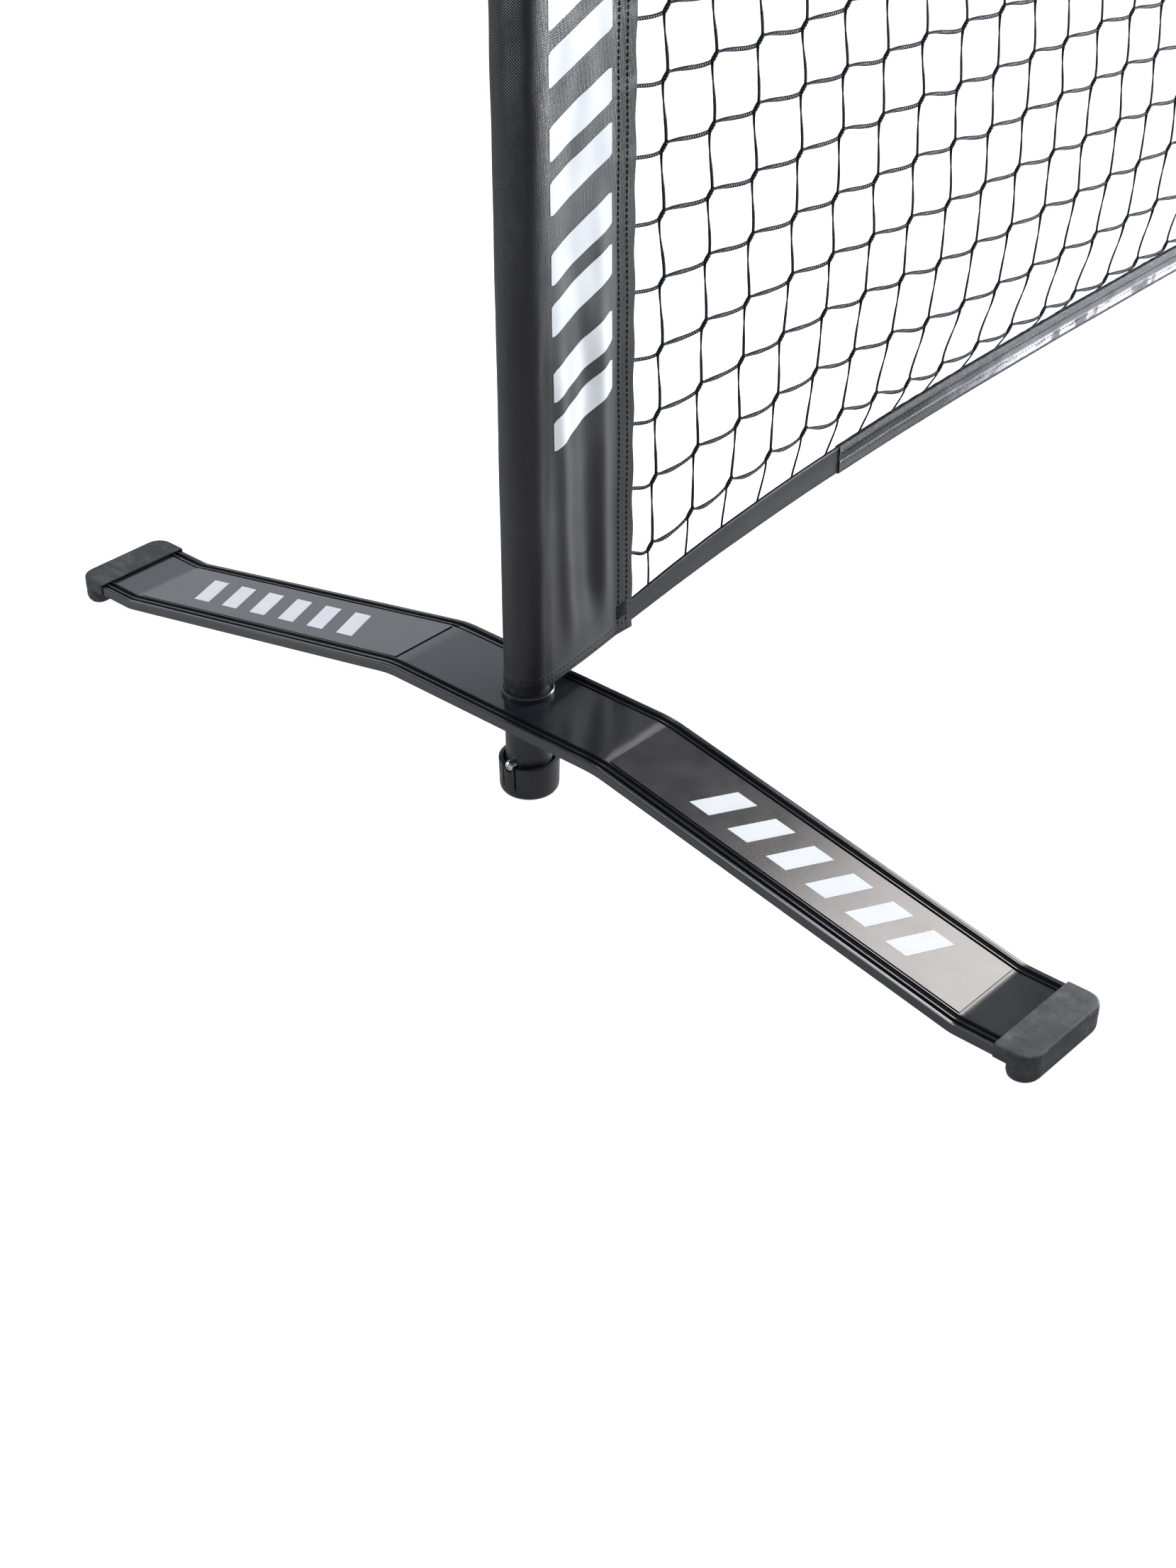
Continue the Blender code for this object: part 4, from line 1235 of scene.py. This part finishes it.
def make_camera():
    """At the left end, outside and in front of the post, looking down at its foot."""
    heading = math.radians(42.01)
    pitch = math.radians(33.83)
    roll = math.radians(-0.11)
    level = Vector((math.cos(heading), math.sin(heading), 0))
    forward = level * math.cos(pitch) + Vector((0, 0, -math.sin(pitch)))
    right = Vector((math.sin(heading), -math.cos(heading), 0))
    up = right.cross(forward)
    side = right * math.cos(roll) + up * math.sin(roll)
    top = up * math.cos(roll) - right * math.sin(roll)
    data = bpy.data.cameras.new("photo_camera")
    assign(data, lens=58.82, sensor_width=36.0, clip_start=0.05, clip_end=60.0)
    camera = bpy.data.objects.new("photo_camera", data)
    place = Vector((LEFT_X - 1.0896, -1.0368, 1.0093))
    turn = Matrix((side, top, -forward)).transposed().to_4x4()
    camera.matrix_world = Matrix.Translation(place) @ turn
    SCENE.collection.objects.link(camera)
    SCENE.camera = camera


def make_world():
    """White room near the floor, a dark stretch above it and a wide soft light overhead."""
    world = bpy.data.worlds.new("studio")
    world.use_nodes = True
    room = Nodes(world.node_tree)
    way = room.node("ShaderNodeTexCoord").outputs["Generated"]
    height = room.axes(way)[2]
    levels = [(0.0, 0.75), (0.3, 0.75), (0.5, 0.85), (0.56, 0.1), (0.7, 0.1), (0.8, 0.45), (0.9, 0.8)]
    tone = room.ramp(height, [(place, (value * 0.95, value * 0.98, value * 1.07)) for place, value in levels])
    # dimmer on the camera's own side, except overhead
    turned = room.node("ShaderNodeVectorMath", operation="DOT_PRODUCT")
    turned.inputs[1].default_value = (math.cos(math.radians(50)), math.sin(math.radians(50)), 0)
    room.link(way, turned.inputs[0])
    behind = room.span(turned.outputs["Value"], 0.05, 0.65, 0.3, 1.0, smooth=True)
    high = room.span(height, 0.6, 0.85, 0.0, 1.0)
    shaded = room.node("ShaderNodeVectorMath", operation="SCALE")
    room.link(tone, shaded.inputs[0])
    room.link(room.math("MAXIMUM", behind, high), shaded.inputs["Scale"])
    back = room.tree.nodes["Background"]
    room.link(shaded.outputs["Vector"], back.inputs["Color"])
    back.inputs["Strength"].default_value = 1.0
    SCENE.world = world
    SCENE.view_settings.view_transform = "Standard"


make_floor()
make_world()
make_camera()
LAMP_CENTRE = Vector((LEFT_X, 0, 0.3))
area_light("top_soft", (0, 0, 2.6), (0, 0, 0), 1.2, 1.2, 16, (0.94, 0.97, 1.0))
area_light("end_soft", (1.77, -0.17, 1.65), (0, -0.25, -0.25), 0.94, 1.3, 4.3, (1.0, 0.96, 0.93), 70)
area_light("left_soft", (-1.8, 1.9, 0.5), (0, 0, 0), 0.7, 1.8, 22, (0.86, 0.92, 1.0))
area_light("right_soft", (2.0, -0.6, 0.15), (0, 0, -0.05), 0.5, 1.0, 13, (0.93, 0.96, 1.0), 70)
area_light("wedge_soft", (1.62, 0.95, 1.37), (0, -0.1, -0.22), 0.26, 0.4, 0.7)
